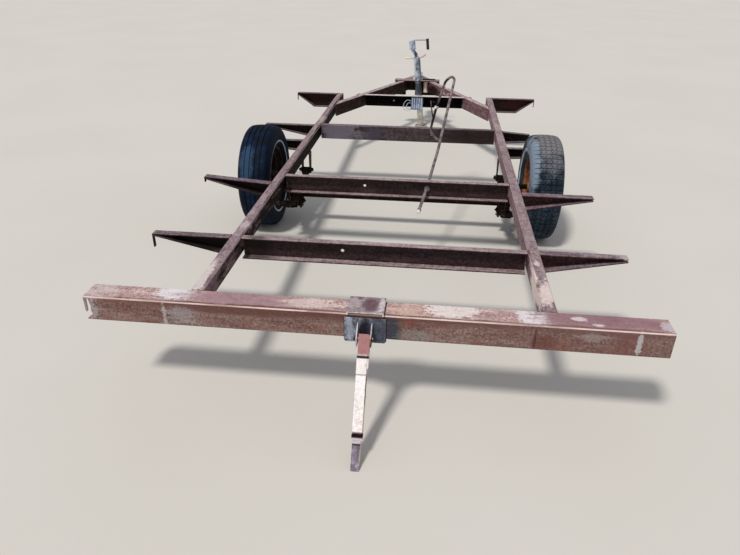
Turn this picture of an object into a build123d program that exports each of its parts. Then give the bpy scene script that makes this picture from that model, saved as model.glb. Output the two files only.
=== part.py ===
from build123d import *
import math
import os

os.makedirs("parts", exist_ok=True)

# Steel boat trailer frame, millimetres.
# +Y points forward to the coupler, +X to the right of someone looking forward, +Z up.
# A station is a distance forward from the rear face of the bumper.

# heights
frame_top = 455.0
tyre_radius = 317.0

# rear bumper, a square tube
bumper_length = 2134.0
bumper_side = 101.6
bumper_wall = 4.8
bumper_corner = 7.0

# side rails, rectangular tube
rail_spread = 1372.0
rail_width = 50.8
rail_depth = 76.2
rail_wall = 3.2
rail_corner = 5.0
rail_end = 3723.0

# crossmembers, channels that open to the rear but for the one that opens forward
member_depth = 101.6
member_flange = 40.0
member_thick = 5.0
member_bend = 4.0
web_hole_dia = 16.0
web_hole_reach = 178.0
web_hole_drop = 50.0
crossmember_fronts = (615.0, 1478.0, 2604.0)
forward_member = 3
pipe_hole_member = 2
pipe_hole_dia = 24.0

# front header, an angle that opens to the rear
header_front = rail_end
header_flange = 50.0

# outriggers
outrigger_thick = 4.5

# tongue
tongue_angle = 25.0
tongue_width = 50.8
tongue_depth = 101.6
tongue_wall = 4.8
tongue_corner = 6.0
tongue_root = 3395.0
tongue_end = 4600.0
plate_rear = 4370.0
plate_front = 4474.0
plate_half_width = 220.0
plate_thick = 6.0
plate_web_depth = 150.0
notch_inner = 20.0
notch_outer = 111.0
notch_height = 46.0

# coupler
coupler_rear = 4500.0
coupler_wall = 5.0
coupler_depth = 50.0
neck_half_width = 38.0
ball_station = 4850.0
ball_drop = 30.0
socket_dia = 51.8
latch_station = 4740.0
latch_rise = 13.0
latch_pin_dia = 9.0
latch_length = 120.0
latch_width = 26.0
latch_thick = 6.0
latch_ear_gap = 1.0
latch_ear_thick = 5.0
latch_ear_radius = 12.0
latch_pin_proud = 2.0
latch_boss = 5.0

# jack
jack_station = 4422.0
jack_offset = 8.0
jack_lean = 6.0
jack_tube_dia = 66.0
jack_tube_wall = 2.5
jack_tube_rise = 212.0
jack_tube_drop = 165.0
jack_leg_wall = 3.0
jack_leg_overlap = 140.0
jack_foot_dia = 120.0
jack_foot_thick = 6.0
jack_foot_rim = 10.0
slide_gap = 0.3
pin_gap = 0.3
running_gap = 0.08

# wheels, axle and springs
axle_station = 1825.0
axle_dia = 60.3
axle_wall = 5.0
axle_drop = 101.6
arm_thick = 16.0
arm_width = 72.0
arm_outside = 34.0
wheel_offset = 861.0
tyre_width = 199.0
rim_radius = 178.0
rim_flange_radius = 191.0
rim_width = 140.0
rim_thick = 3.2
rim_seat = 30.0
well_slope = 12.0
well_depth = 14.0
disc_face = 12.0
disc_thick = 5.0
disc_crown = 22.0
seat_gap = 0.2
bead_gap = 0.8
bead_thick = 16.0
tyre_wall = 10.0
tread_thick = 10.0
flange_gap = 3.0
shoulder_tuck = 9.0
shoulder_drop = 30.0
tread_tuck = 26.0
tread_drop = 7.0
crown_tuck = 66.0
tyre_clearance = 14.0
spindle_dia = 30.0
hub_dia = 66.0
hub_inboard = 72.0
hub_flange_dia = 150.0
hub_flange_thick = 9.0
hub_cap_length = 20.0
cap_room = 6.0
spindle_reach = 42.0
stud_circle = 114.3
stud_dia = 12.7
stud_length = 28.0
stud_count = 5
spring_length = 641.0
spring_camber = 84.0
leaf_thick = 7.0
leaf_width = 45.0
eye_dia = 36.0
eye_bolt_dia = 14.0
spring_seat = 6.0
seat_bite = 12.0
seat_margin = 4.0
clamp_length = 110.0
clamp_thick = 9.0
bow_dia = 11.0
bow_spacing = 76.0
hanger_thick = 6.0
hanger_gap = 1.0
hanger_ahead = 46.0
hanger_behind = 22.0
hanger_below = 22.0
lug_half = 40.0
lug_tip = 16.0
lug_rim = 2.0
bolt_proud = 8.0
shackle_pivot_drop = 24.0

# rear stand
stand_offset = -4.0
stand_lean = 33.0
stand_pivot_height = 380.0
stand_pivot_back = 40.0
stand_plate_width = 150.0
stand_plate_depth = 102.0
stand_plate_low = 12.0
stand_plate_thick = 6.0
stand_ear_thick = 4.0
stand_pin_dia = 12.0
sleeve_side = 38.1
sleeve_wall = 3.2
sleeve_start = 55.0
sleeve_end = 330.0
stand_leg_wall = 3.0
strap_thick = 4.0
strap_length = 105.0
cap_width = 134.0
cap_rise = 14.0
cap_thick = 5.0
cap_overhang = 8.0

# box on the header
box_centre = 30.0
box_width = 104.0
box_height = 112.0
box_deep = 38.0

# bent pipe
pipe_dia = 17.1

# what follows from the sizes above
stand_foot_back = stand_pivot_back + stand_pivot_height * math.tan(math.radians(stand_lean))
inner_side = sleeve_side - 2 * sleeve_wall - 2 * slide_gap
stand_end_back = stand_foot_back + inner_side / 2 / math.cos(math.radians(stand_lean))
nose_station = ball_station + neck_half_width
origin_station = (nose_station - stand_end_back) / 2
rail_outer = rail_spread / 2
rail_inner = rail_outer - rail_width
rail_bottom = frame_top - rail_depth
rail_centre = rail_outer - rail_width / 2
web_hole_height = frame_top - web_hole_drop
axle_height = tyre_radius - axle_drop
spring_half = spring_length / 2
rear_eye = axle_station - spring_half
front_eye = axle_station + spring_half
spring_top = axle_height - axle_dia / 2 - spring_seat
leaf_radius = (spring_half ** 2 + spring_camber ** 2) / (2 * spring_camber)
leaf_centre = spring_top - leaf_thick / 2 + leaf_radius
eye_height = spring_top - leaf_thick / 2 + spring_camber
tongue_slope = math.tan(math.radians(tongue_angle))
tongue_skew = tongue_width / math.cos(math.radians(tongue_angle))


def at(station):
    # the Y coordinate of a station
    return station - origin_station


def tongue_edge(station):
    # how far the outer face of a tongue beam is from the centre line
    return rail_inner - (station - tongue_root) * tongue_slope


def save(part, name):
    part.label = name
    export_step(part, f"parts/{name}.step")


def tube_section(width, depth, wall, corner):
    # a rectangular tube's section about its centre
    with BuildSketch() as section:
        RectangleRounded(width, depth, corner)
        RectangleRounded(width - 2 * wall, depth - 2 * wall, max(corner - wall, 1.0), mode=Mode.SUBTRACT)
    return section.sketch


def channel_section(front, flange, top, depth, thick, bend, lower=True):
    # a channel's section in Y and Z, its web at the front and its flanges to the rear
    back = front - flange
    low = top - depth
    with BuildSketch() as section:
        with BuildLine():
            if lower:
                Polyline((front, top), (back, top), (back, top - thick), (front - thick, top - thick),
                         (front - thick, low + thick), (back, low + thick), (back, low), (front, low),
                         close=True)
            else:
                Polyline((front, top), (back, top), (back, top - thick), (front - thick, top - thick),
                         (front - thick, low), (front, low), close=True)
        make_face()
        fillet(section.vertices().group_by(Axis.X)[-1].sort_by(Axis.Y)[-1], bend)
    return section.sketch


# Rear bumper, its rear wall torn away at the left end but for a hanging strip
# columns: in from the end, below the top
torn_edge = ((10, 9), (19, 9), (24, 40), (21, 62), (30, 84), (32, 103), (-1, 103), (-1, 62), (5, 66),
             (9, 58))
with BuildPart() as rear_bumper:
    with BuildSketch(Plane.YZ.offset(-bumper_length / 2)):
        with Locations((at(bumper_side / 2), frame_top - bumper_side / 2)):
            add(tube_section(bumper_side, bumper_side, bumper_wall, bumper_corner))
    extrude(amount=bumper_length)
    with BuildSketch(Plane.XZ.offset(-at(-1))):
        with BuildLine():
            Polyline(*[(-bumper_length / 2 + x, frame_top - drop) for x, drop in torn_edge], close=True)
        make_face()
    extrude(amount=-(bumper_wall + 1), mode=Mode.SUBTRACT)
save(rear_bumper.part, "rear_bumper")

# Side rails
for side, name in ((-1, "rail_left"), (1, "rail_right")):
    with BuildPart() as rail:
        with BuildSketch(Plane.XZ.offset(-at(bumper_side))):
            with Locations((side * rail_centre, frame_top - rail_depth / 2)):
                add(tube_section(rail_width, rail_depth, rail_wall, rail_corner))
        extrude(amount=-(rail_end - bumper_side))
    save(rail.part, name)

# Crossmembers, with a drain hole each side of the middle
for number, front in enumerate(crossmember_fronts, 1):
    if number == forward_member:
        section = mirror(channel_section(-at(front - member_thick), member_flange, frame_top, member_depth,
                                         member_thick, member_bend), about=Plane.YZ)
    else:
        section = channel_section(at(front), member_flange, frame_top, member_depth, member_thick,
                                  member_bend)
    with BuildPart() as crossmember:
        with BuildSketch(Plane.YZ.offset(-rail_inner)):
            add(section)
        extrude(amount=2 * rail_inner)
        with BuildSketch(Plane.XZ.offset(-at(front))):
            with Locations((-web_hole_reach, web_hole_height)):
                Circle(web_hole_dia / 2)
            with Locations((web_hole_reach, web_hole_height)):
                Circle(pipe_hole_dia / 2 if number == pipe_hole_member else web_hole_dia / 2)
        extrude(amount=member_thick, mode=Mode.SUBTRACT)
    save(crossmember.part, f"crossmember_{number}")

# Front header, between the inner faces of the tongue beams
with BuildPart() as front_header:
    with BuildSketch(Plane.YZ.offset(-rail_inner)):
        add(channel_section(at(header_front), header_flange, frame_top, member_depth, member_thick,
                            member_bend, lower=False))
    extrude(amount=2 * rail_inner)
    for side in (-1, 1):
        inner_face = Plane(origin=(side * (tongue_edge(header_front) - tongue_skew), at(header_front), 0),
                           z_dir=(-side * math.cos(math.radians(tongue_angle)),
                                  -math.sin(math.radians(tongue_angle)), 0))
        split(bisect_by=inner_face, keep=Keep.TOP)
    with BuildSketch(Plane.XZ.offset(-at(header_front))):
        with Locations((-web_hole_reach, web_hole_height), (web_hole_reach, web_hole_height)):
            Circle(web_hole_dia / 2)
    extrude(amount=member_thick, mode=Mode.SUBTRACT)
save(front_header.part, "front_header")

# Outriggers, channels that taper to the tip; the brackets stay ahead of the tyres
bracket_flange = 40.0
bracket_front = axle_station + tyre_radius + tyre_clearance + bracket_flange
# columns: name, side, front face, flange, reach, root depth, shoulder reach, tip depth, tip rise,
# lip length
outriggers = (
    ("outrigger_left_1", -1, 615.0, 42.0, 1049.0, 92.0, 686.0, 9.0, 0.0, 66.0),
    ("outrigger_left_2", -1, 1335.0, 48.0, 1056.0, 88.0, 686.0, 12.0, 26.0, 30.0),
    ("outrigger_left_3", -1, 2604.0, 40.0, 1046.0, 88.0, 686.0, 14.0, 0.0, 0.0),
    ("outrigger_left_4", -1, 3723.0, 48.0, 1046.0, 118.0, 900.0, 14.0, 0.0, 62.0),
    ("outrigger_right_1", 1, 615.0, 42.0, 1055.0, 92.0, 686.0, 17.0, 0.0, 0.0),
    ("outrigger_right_2", 1, 1335.0, 48.0, 1058.0, 88.0, 686.0, 17.0, 0.0, 0.0),
    ("outrigger_right_3", 1, 2604.0, 40.0, 880.0, 82.0, 686.0, 52.0, -14.0, 0.0),
    ("outrigger_right_4", 1, 3723.0, 48.0, 1047.0, 118.0, 900.0, 14.0, 0.0, 62.0),
    ("wheel_bracket_left", -1, bracket_front, bracket_flange, 950.0, 70.0, 686.0, 52.0, 0.0, 0.0),
    ("wheel_bracket_right", 1, bracket_front, bracket_flange, 950.0, 70.0, 686.0, 52.0, 0.0, 0.0),
)
lip_thick = 4.0
lip_width = 18.0
for name, side, front, flange, reach, root, shoulder, tip, rise, lip in outriggers:
    root_line = ((side * rail_outer, frame_top), (side * rail_outer, frame_top - root))
    if shoulder > rail_outer:
        under = [(side * shoulder, frame_top - root)]
    else:
        under = []
    tip_line = ((side * reach, frame_top + rise - tip), (side * reach, frame_top + rise))
    with BuildPart() as outrigger:
        with BuildSketch(Plane.XZ.offset(-at(front))) as blank:
            with BuildLine():
                Polyline(*root_line, *under, *tip_line, close=True)
            make_face()
        extrude(amount=flange)
        with BuildSketch(Plane.XZ.offset(-at(front - outrigger_thick))):
            with BuildLine():
                Polyline((side * rail_outer, frame_top - outrigger_thick),
                         (side * rail_outer, frame_top - root + outrigger_thick),
                         *[(x, z + outrigger_thick) for x, z in under],
                         (side * reach, frame_top + rise - tip + min(outrigger_thick, tip * 0.3)),
                         (side * reach, frame_top + rise - min(outrigger_thick, tip * 0.4)), close=True)
            make_face()
        extrude(amount=flange - outrigger_thick, mode=Mode.SUBTRACT)
        if lip > 0:
            with BuildSketch(Plane.XZ.offset(-at(front - flange + lip_width))):
                with Locations((side * (reach - lip_thick / 2), frame_top + rise - lip / 2)):
                    Rectangle(lip_thick, lip)
            extrude(amount=lip_width)
    save(outrigger.part, name)

# Tongue beams, cut to the rail at the root and square to the trailer at the front
tongue_spare = 100.0
tongue_length = (tongue_end - tongue_root + 2 * tongue_spare) / math.cos(math.radians(tongue_angle))


def tongue_start(side):
    # the plane square to a tongue beam, before its root
    run = (-side * math.sin(math.radians(tongue_angle)), math.cos(math.radians(tongue_angle)), 0)
    across = (math.cos(math.radians(tongue_angle)), side * math.sin(math.radians(tongue_angle)), 0)
    middle = rail_inner - tongue_skew / 2
    return Plane(origin=(side * (middle + tongue_spare * tongue_slope), at(tongue_root - tongue_spare),
                         frame_top - tongue_depth / 2), x_dir=across, z_dir=run)


for side, name in ((-1, "tongue_left"), (1, "tongue_right")):
    with BuildPart() as tongue:
        with BuildSketch(tongue_start(side)):
            add(tube_section(tongue_width, tongue_depth, tongue_wall, tongue_corner))
        extrude(amount=tongue_length)
        split(bisect_by=Plane(origin=(side * rail_inner, 0, 0), z_dir=(-side, 0, 0)), keep=Keep.TOP)
        split(bisect_by=Plane(origin=(0, at(tongue_end), 0), z_dir=(0, -1, 0)), keep=Keep.TOP)
    save(tongue.part, name)

# The jack's own frame, which leans a little to the left
jack_lean_rad = math.radians(jack_lean)
jack_axis = (-math.sin(jack_lean_rad), 0, math.cos(jack_lean_rad))
jack_across = (math.cos(jack_lean_rad), 0, math.sin(jack_lean_rad))
jack_seat = Plane(origin=(jack_offset, at(jack_station), frame_top + plate_thick), x_dir=jack_across,
                  z_dir=jack_axis)
jack_flange_thick = 6.0
jack_flange_reach = 46.0
jack_flange_lobe = 12.0
jack_bolt_dia = 12.0

# Plate and web across the tongue, with the jack's hole and the beams' passages
with BuildPart() as tongue_crossmember:
    with BuildSketch(Plane.XY.offset(frame_top)):
        with Locations((0, at((plate_rear + plate_front) / 2))):
            Rectangle(2 * plate_half_width, plate_front - plate_rear)
    extrude(amount=plate_thick)
    with BuildSketch(Plane.XY.offset(frame_top)):
        with Locations((0, at(plate_front - plate_thick / 2))):
            Rectangle(2 * plate_half_width, plate_thick)
    extrude(amount=-plate_web_depth)
    with BuildSketch(Plane.XZ.offset(-at(plate_front))):
        with Locations((-(notch_inner + notch_outer) / 2, frame_top - plate_web_depth + notch_height / 2)):
            Rectangle(notch_outer - notch_inner, notch_height)
    extrude(amount=plate_thick, mode=Mode.SUBTRACT)
    for side in (-1, 1):
        with BuildSketch(tongue_start(side)):
            Rectangle(tongue_width, tongue_depth)
        extrude(amount=tongue_length, mode=Mode.SUBTRACT)
    with BuildSketch(jack_seat.offset(-4 * plate_thick)):
        Circle(jack_tube_dia / 2 + slide_gap)
    extrude(amount=8 * plate_thick, mode=Mode.SUBTRACT)
save(tongue_crossmember.part, "tongue_crossmember")

# Coupler, a pressed tray over the beams' ends with a socket in its nose
coupler_top = frame_top + coupler_wall
coupler_skin = coupler_wall / math.cos(math.radians(tongue_angle))
neck_station = tongue_root + (rail_inner + coupler_skin - neck_half_width) / tongue_slope


def coupler_outline(inset, rear):
    # the coupler's plan, drawn in by a wall where inset is given
    shrink = inset / math.cos(math.radians(tongue_angle))
    half = neck_half_width - inset
    turn = tongue_root + (rail_inner + coupler_skin - shrink - half) / tongue_slope
    wide = tongue_edge(rear) + coupler_skin - shrink
    with BuildSketch() as plan:
        with BuildLine():
            Polyline((-half, at(ball_station)), (-half, at(turn)), (-wide, at(rear)), (wide, at(rear)),
                     (half, at(turn)), (half, at(ball_station)))
            ThreePointArc((half, at(ball_station)), (0, at(ball_station) + half), (-half, at(ball_station)))
        make_face()
    return plan.sketch


latch_pivot_height = coupler_top + latch_rise
latch_ear_inner = latch_width / 2 + latch_ear_gap
with BuildPart() as coupler:
    with BuildSketch(Plane.XY.offset(coupler_top - coupler_depth)):
        add(coupler_outline(0, coupler_rear))
    extrude(amount=coupler_depth)
    with BuildSketch(Plane.XY.offset(coupler_top - coupler_depth)):
        add(coupler_outline(coupler_wall, coupler_rear))
    extrude(amount=coupler_depth - coupler_wall, mode=Mode.SUBTRACT)
    with BuildSketch(Plane.XY.offset(coupler_top - coupler_depth)):
        with Locations((0, at(ball_station))):
            Circle(neck_half_width - coupler_wall)
    extrude(amount=coupler_depth - coupler_wall)
    with Locations((0, at(ball_station), coupler_top - coupler_depth)):
        Cylinder(socket_dia / 2, coupler_depth - ball_drop, align=(Align.CENTER, Align.CENTER, Align.MIN),
                 mode=Mode.SUBTRACT)
    with Locations((0, at(ball_station), coupler_top - ball_drop)):
        Sphere(socket_dia / 2, mode=Mode.SUBTRACT)
    for side in (-1, 1):
        with BuildSketch(Plane.YZ.offset(side * (latch_ear_inner + latch_ear_thick / 2))):
            with Locations((at(latch_station), coupler_top + latch_rise / 2)):
                Rectangle(2 * latch_ear_radius, latch_rise)
            with Locations((at(latch_station), latch_pivot_height)):
                Circle(latch_ear_radius)
        extrude(amount=latch_ear_thick / 2, both=True)
    with Locations(Location((0, at(latch_station), latch_pivot_height), (0, 90, 0))):
        Cylinder(latch_pin_dia / 2, 2 * (latch_ear_inner + latch_ear_thick + latch_pin_proud))
save(coupler.part, "coupler")

# Coupler latch, a lever that lies back along the neck and lifts about its pin
with BuildPart() as coupler_latch:
    with BuildSketch(Plane.YZ.offset(-latch_width / 2)):
        with Locations((at(latch_station), latch_pivot_height)):
            Circle(latch_pin_dia / 2 + latch_boss)
        with Locations((at(latch_station - latch_length / 2), latch_pivot_height + latch_thick / 2)):
            Rectangle(latch_length, latch_thick)
        with Locations((at(latch_station), latch_pivot_height)):
            Circle(latch_pin_dia / 2 + pin_gap, mode=Mode.SUBTRACT)
    extrude(amount=latch_width)
    fillet(coupler_latch.edges().filter_by(Axis.Z).group_by(Axis.Y)[0], latch_width * 0.3)
save(coupler_latch.part, "coupler_latch")

# Jack tube, with its three-bolt flange and the bent bar through its top
# columns: across, above the tube's cap
bar_points = ((-112, 4), (-40, -9), (34, -9), (86, 22))
bar_dia = 10.0
bar_bend = 20.0
cap_plane = jack_seat.offset(jack_tube_rise + jack_tube_wall)
bar_side = Plane(origin=cap_plane.origin, x_dir=cap_plane.x_dir, z_dir=(0, -1, 0))
with BuildPart() as jack_tube:
    with BuildSketch(jack_seat.offset(-jack_tube_drop)):
        Circle(jack_tube_dia / 2)
    extrude(amount=jack_tube_drop + jack_tube_rise + jack_tube_wall)
    with BuildSketch(Plane.XY.offset(frame_top + plate_thick)):
        with Locations((jack_offset, at(jack_station))):
            with PolarLocations(jack_flange_reach, 3, start_angle=30):
                Circle(jack_flange_lobe)
        make_hull()
        with Locations((jack_offset, at(jack_station))):
            with PolarLocations(jack_flange_reach, 3, start_angle=30):
                Circle(jack_bolt_dia / 2, mode=Mode.SUBTRACT)
    extrude(amount=jack_flange_thick)
    with BuildSketch(jack_seat.offset(-jack_tube_drop)):
        Circle(jack_tube_dia / 2 - jack_tube_wall)
    extrude(amount=jack_tube_drop + jack_tube_rise, mode=Mode.SUBTRACT)
    with BuildLine(bar_side) as bar_route:
        FilletPolyline(*bar_points, radius=bar_bend)
    with BuildSketch(Plane(origin=bar_route.line @ 0, z_dir=bar_route.line % 0)):
        Circle(bar_dia / 2)
    sweep(path=bar_route.line)
save(jack_tube.part, "jack_tube")

# Jack leg and its round foot, out to the ground
leg_dia = jack_tube_dia - 2 * jack_tube_wall - 2 * slide_gap
leg_run = (frame_top + plate_thick) / math.cos(jack_lean_rad)
foot_x = jack_offset + (frame_top + plate_thick) * math.tan(jack_lean_rad)
with BuildPart() as jack_leg:
    with BuildSketch(jack_seat.offset(-leg_run)):
        Circle(leg_dia / 2)
        Circle(leg_dia / 2 - jack_leg_wall, mode=Mode.SUBTRACT)
    extrude(amount=leg_run - jack_tube_drop + jack_leg_overlap)
    split(bisect_by=Plane.XY.offset(jack_foot_thick / 2), keep=Keep.TOP)
    with BuildSketch(Plane.XY):
        with Locations((foot_x, at(jack_station))):
            Circle(jack_foot_dia / 2)
    extrude(amount=jack_foot_thick)
    with BuildSketch(Plane.XY):
        with Locations((foot_x, at(jack_station))):
            Circle(jack_foot_dia / 2)
            Circle(jack_foot_dia / 2 - jack_foot_thick, mode=Mode.SUBTRACT)
    extrude(amount=jack_foot_rim + jack_foot_thick)
save(jack_leg.part, "jack_leg")

# Jack crank: a shaft, a cranked neck, a galvanised sleeve, an arm and a hanging grip
# columns: across, above the tube's cap
crank_points = ((0, 0), (0, 14), (-36, 72), (-36, 160), (112, 150))
crank_rod_dia = 12.0
crank_bend = 16.0
crank_neck_dia = 34.0
crank_sleeve_dia = 60.0
crank_sleeve_low = 74.0
crank_sleeve_high = 150.0
crank_hub_dia = 40.0
crank_hub_height = 10.0
grip_dia = 24.0
grip_length = 100.0
crank_base = cap_plane.offset(pin_gap)
crank_side = Plane(origin=crank_base.origin, x_dir=crank_base.x_dir, z_dir=(0, -1, 0))
with BuildPart() as jack_crank:
    with BuildLine(crank_side) as crank_route:
        FilletPolyline(*crank_points, radius=crank_bend)
    with BuildSketch(crank_base):
        Circle(crank_rod_dia / 2)
    sweep(path=crank_route.line)
    with BuildSketch(crank_base):
        Circle(crank_hub_dia / 2)
    extrude(amount=crank_hub_height)
    with BuildLine(crank_side) as neck_route:
        Line(crank_points[1], crank_points[2])
    with BuildSketch(Plane(origin=neck_route.line @ 0, z_dir=neck_route.line % 0)):
        Circle(crank_neck_dia / 2)
    extrude(amount=math.dist(crank_points[1], crank_points[2]))
    with BuildSketch(crank_base.offset(crank_sleeve_low)):
        with Locations((crank_points[2][0], 0)):
            Circle(crank_sleeve_dia / 2)
    extrude(amount=crank_sleeve_high - crank_sleeve_low)
    with BuildSketch(crank_base.offset(crank_points[4][1] + grip_dia / 2 - grip_length)):
        with Locations((crank_points[4][0], 0)):
            Circle(grip_dia / 2)
    extrude(amount=grip_length)
save(jack_crank.part, "jack_crank")

# Ribbed box under the header's flange
rib_count = 5
rib_width = 8.0
rib_proud = 3.0
rib_margin = 10.0
box_corner = 6.0
box_back = header_front - member_thick - box_deep
with BuildPart() as junction_box:
    with BuildSketch(Plane.XZ.offset(-at(header_front - member_thick))):
        with Locations((box_centre, frame_top - member_thick - box_height / 2)):
            RectangleRounded(box_width, box_height, box_corner)
    extrude(amount=box_deep)
    with BuildSketch(Plane.XZ.offset(-at(box_back))):
        with Locations((box_centre, frame_top - member_thick - box_height / 2)):
            with GridLocations(box_width / rib_count, 1, rib_count, 1):
                Rectangle(rib_width, box_height - 2 * rib_margin)
    extrude(amount=rib_proud)
save(junction_box.part, "junction_box")

# Bent pipe that goes up through the second crossmember's hole and over in a hairpin
# columns: across, station, above the frame's top
pipe_points = (
    (139.0, 1262.0, -118.0),
    (178.0, 1474.0, -50.0),
    (230.0, 1800.0, 80.0),
    (290.0, 2250.0, 285.0),
    (316.0, 2440.0, 378.0),
    (296.0, 2500.0, 392.0),
    (256.0, 2512.0, 350.0),
    (206.0, 2505.0, 180.0),
    (172.0, 2490.0, 20.0),
    (196.0, 2480.0, -22.0),
    (240.0, 2470.0, -54.0),
)
pipe_radii = (400, 800, 900, 60, 40, 60, 400, 60, 60)
fitting_dia = 24.0
fitting_length = 30.0
collar_dia = 34.0
collar_thick = 8.0
route = [(x, at(y), frame_top + z) for x, y, z in pipe_points]
with BuildPart() as bent_pipe:
    with BuildLine() as pipe_route:
        FilletPolyline(*route, radius=pipe_radii)
    tail = Plane(origin=pipe_route.line @ 0, z_dir=pipe_route.line % 0)
    with BuildSketch(tail):
        Circle(pipe_dia / 2)
    sweep(path=pipe_route.line)
    with BuildSketch(tail):
        Circle(fitting_dia / 2)
    extrude(amount=fitting_length)
    with BuildSketch(Plane.XZ.offset(-at(crossmember_fronts[1] - member_thick))):
        with Locations((web_hole_reach, web_hole_height)):
            RegularPolygon(collar_dia / 2, 6)
    extrude(amount=collar_thick)
save(bent_pipe.part, "bent_pipe")

# Dropped axle: a low tube, an arm up at each end and a spindle at the wheel's height
axle_half = rail_outer + arm_outside
seat_width = leaf_width + seat_margin
with BuildPart() as axle:
    with BuildSketch(Plane.YZ.offset(-axle_half)):
        with Locations((at(axle_station), axle_height)):
            Circle(axle_dia / 2)
    extrude(amount=2 * axle_half)
    with BuildSketch(Plane.YZ.offset(-axle_half + arm_thick)):
        with Locations((at(axle_station), axle_height)):
            Circle(axle_dia / 2 - axle_wall)
    extrude(amount=2 * (axle_half - arm_thick), mode=Mode.SUBTRACT)
    for side in (-1, 1):
        with BuildSketch(Plane.YZ.offset(side * axle_half)):
            with Locations((at(axle_station), (axle_height + tyre_radius) / 2)):
                SlotCenterToCenter(axle_drop, arm_width, rotation=90)
        extrude(amount=-side * arm_thick)
        with BuildSketch(Plane.YZ.offset(side * axle_half)):
            with Locations((at(axle_station), tyre_radius)):
                Circle(spindle_dia / 2)
        extrude(amount=side * (wheel_offset + spindle_reach - axle_half))
    for side in (-1, 1):
        with BuildSketch(Plane.YZ.offset(side * rail_centre - seat_width / 2)):
            with Locations((at(axle_station), axle_height - axle_dia / 2)):
                Rectangle(clamp_length, 2 * seat_bite)
            with Locations((at(axle_station), leaf_centre)):
                Circle(leaf_radius - leaf_thick / 2 - seat_gap, mode=Mode.INTERSECT)
        extrude(amount=seat_width)
save(axle.part, "axle")

# Leaf springs under the axle, four concentric leaves and two eyes
leaf_shares = (1.0, 0.78, 0.56, 0.34)
for side, name in ((-1, "spring_left"), (1, "spring_right")):
    with BuildPart() as spring:
        with BuildSketch(Plane.YZ.offset(side * rail_centre - leaf_width / 2)):
            for count, share in enumerate(leaf_shares):
                half_turn = math.degrees(math.asin(share * spring_half / leaf_radius))
                with BuildLine():
                    CenterArc((at(axle_station), leaf_centre), leaf_radius + count * leaf_thick,
                              270 - half_turn, 2 * half_turn)
                trace(line_width=leaf_thick)
            with Locations((at(rear_eye), eye_height), (at(front_eye), eye_height)):
                Circle(eye_dia / 2)
                Circle(eye_bolt_dia / 2 + seat_gap, mode=Mode.SUBTRACT)
        extrude(amount=leaf_width)
    save(spring.part, name)

# Clamps: a plate under each spring and two bows over the axle
pack_bottom = spring_top - len(leaf_shares) * leaf_thick
bow_room = 2.5
bow_tail = 8.0
bow_rise = 1.0
bow_half = leaf_width / 2 + bow_dia / 2 + bow_room
bow_low = pack_bottom - clamp_thick - bow_tail
bow_high = axle_height + axle_dia / 2 + bow_dia / 2 + bow_rise
for side, name in ((-1, "spring_clamp_left"), (1, "spring_clamp_right")):
    with BuildPart() as clamp:
        with BuildSketch(Plane.XY.offset(pack_bottom - clamp_thick - seat_gap)):
            with Locations((side * rail_centre, at(axle_station))):
                Rectangle(leaf_width + 3 * bow_dia, clamp_length)
        extrude(amount=clamp_thick)
        for end in (-1, 1):
            bow_plane = Plane(origin=(side * rail_centre, at(axle_station) + end * bow_spacing / 2, 0),
                              x_dir=(1, 0, 0), z_dir=(0, -1, 0))
            with BuildLine(bow_plane) as bow_route:
                FilletPolyline((-bow_half, bow_low), (-bow_half, bow_high), (bow_half, bow_high),
                               (bow_half, bow_low), radius=bow_dia)
            with BuildSketch(Plane(origin=bow_route.line @ 0, z_dir=bow_route.line % 0)):
                Circle(bow_dia / 2)
            sweep(path=bow_route.line)
    save(clamp.part, name)

# Spring hangers: a fixed pair of cheeks at the front eye, a lug for the shackle at the rear
cheek_inner = leaf_width / 2 + hanger_gap
cheek_middle = cheek_inner + hanger_thick / 2
hanger_low = eye_height - hanger_below
shackle_top = rail_bottom - shackle_pivot_drop
for side, name in ((-1, "hangers_left"), (1, "hangers_right")):
    with BuildPart() as hangers:
        for cheek in (-1, 1):
            with BuildSketch(Plane.YZ.offset(side * rail_centre + cheek * cheek_middle)):
                with BuildLine():
                    Polyline((at(front_eye - hanger_behind), rail_bottom),
                             (at(front_eye + hanger_ahead), rail_bottom),
                             (at(front_eye + hanger_below), hanger_low),
                             (at(front_eye - hanger_behind), hanger_low), close=True)
                make_face()
            extrude(amount=hanger_thick / 2, both=True)
        with BuildSketch(Plane.XY.offset(rail_bottom - hanger_thick)):
            with Locations((side * rail_centre, at(front_eye + (hanger_ahead - hanger_behind) / 2))):
                Rectangle(2 * cheek_middle, hanger_ahead + hanger_behind)
        extrude(amount=hanger_thick)
        with BuildSketch(Plane.YZ.offset(side * rail_centre)):
            with Locations((at(front_eye), eye_height)):
                Circle(eye_bolt_dia / 2)
        extrude(amount=cheek_inner + hanger_thick + bolt_proud, both=True)
        with BuildSketch(Plane.YZ.offset(side * rail_centre)):
            with BuildLine():
                Polyline((at(rear_eye - lug_half), rail_bottom), (at(rear_eye + lug_half), rail_bottom),
                         (at(rear_eye + lug_tip), shackle_top), (at(rear_eye - lug_tip), shackle_top),
                         close=True)
            make_face()
            with Locations((at(rear_eye), shackle_top)):
                Circle(eye_dia / 2 - lug_rim)
                Circle(eye_bolt_dia / 2 + seat_gap, mode=Mode.SUBTRACT)
        extrude(amount=leaf_width / 2, both=True)
    save(hangers.part, name)

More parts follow.
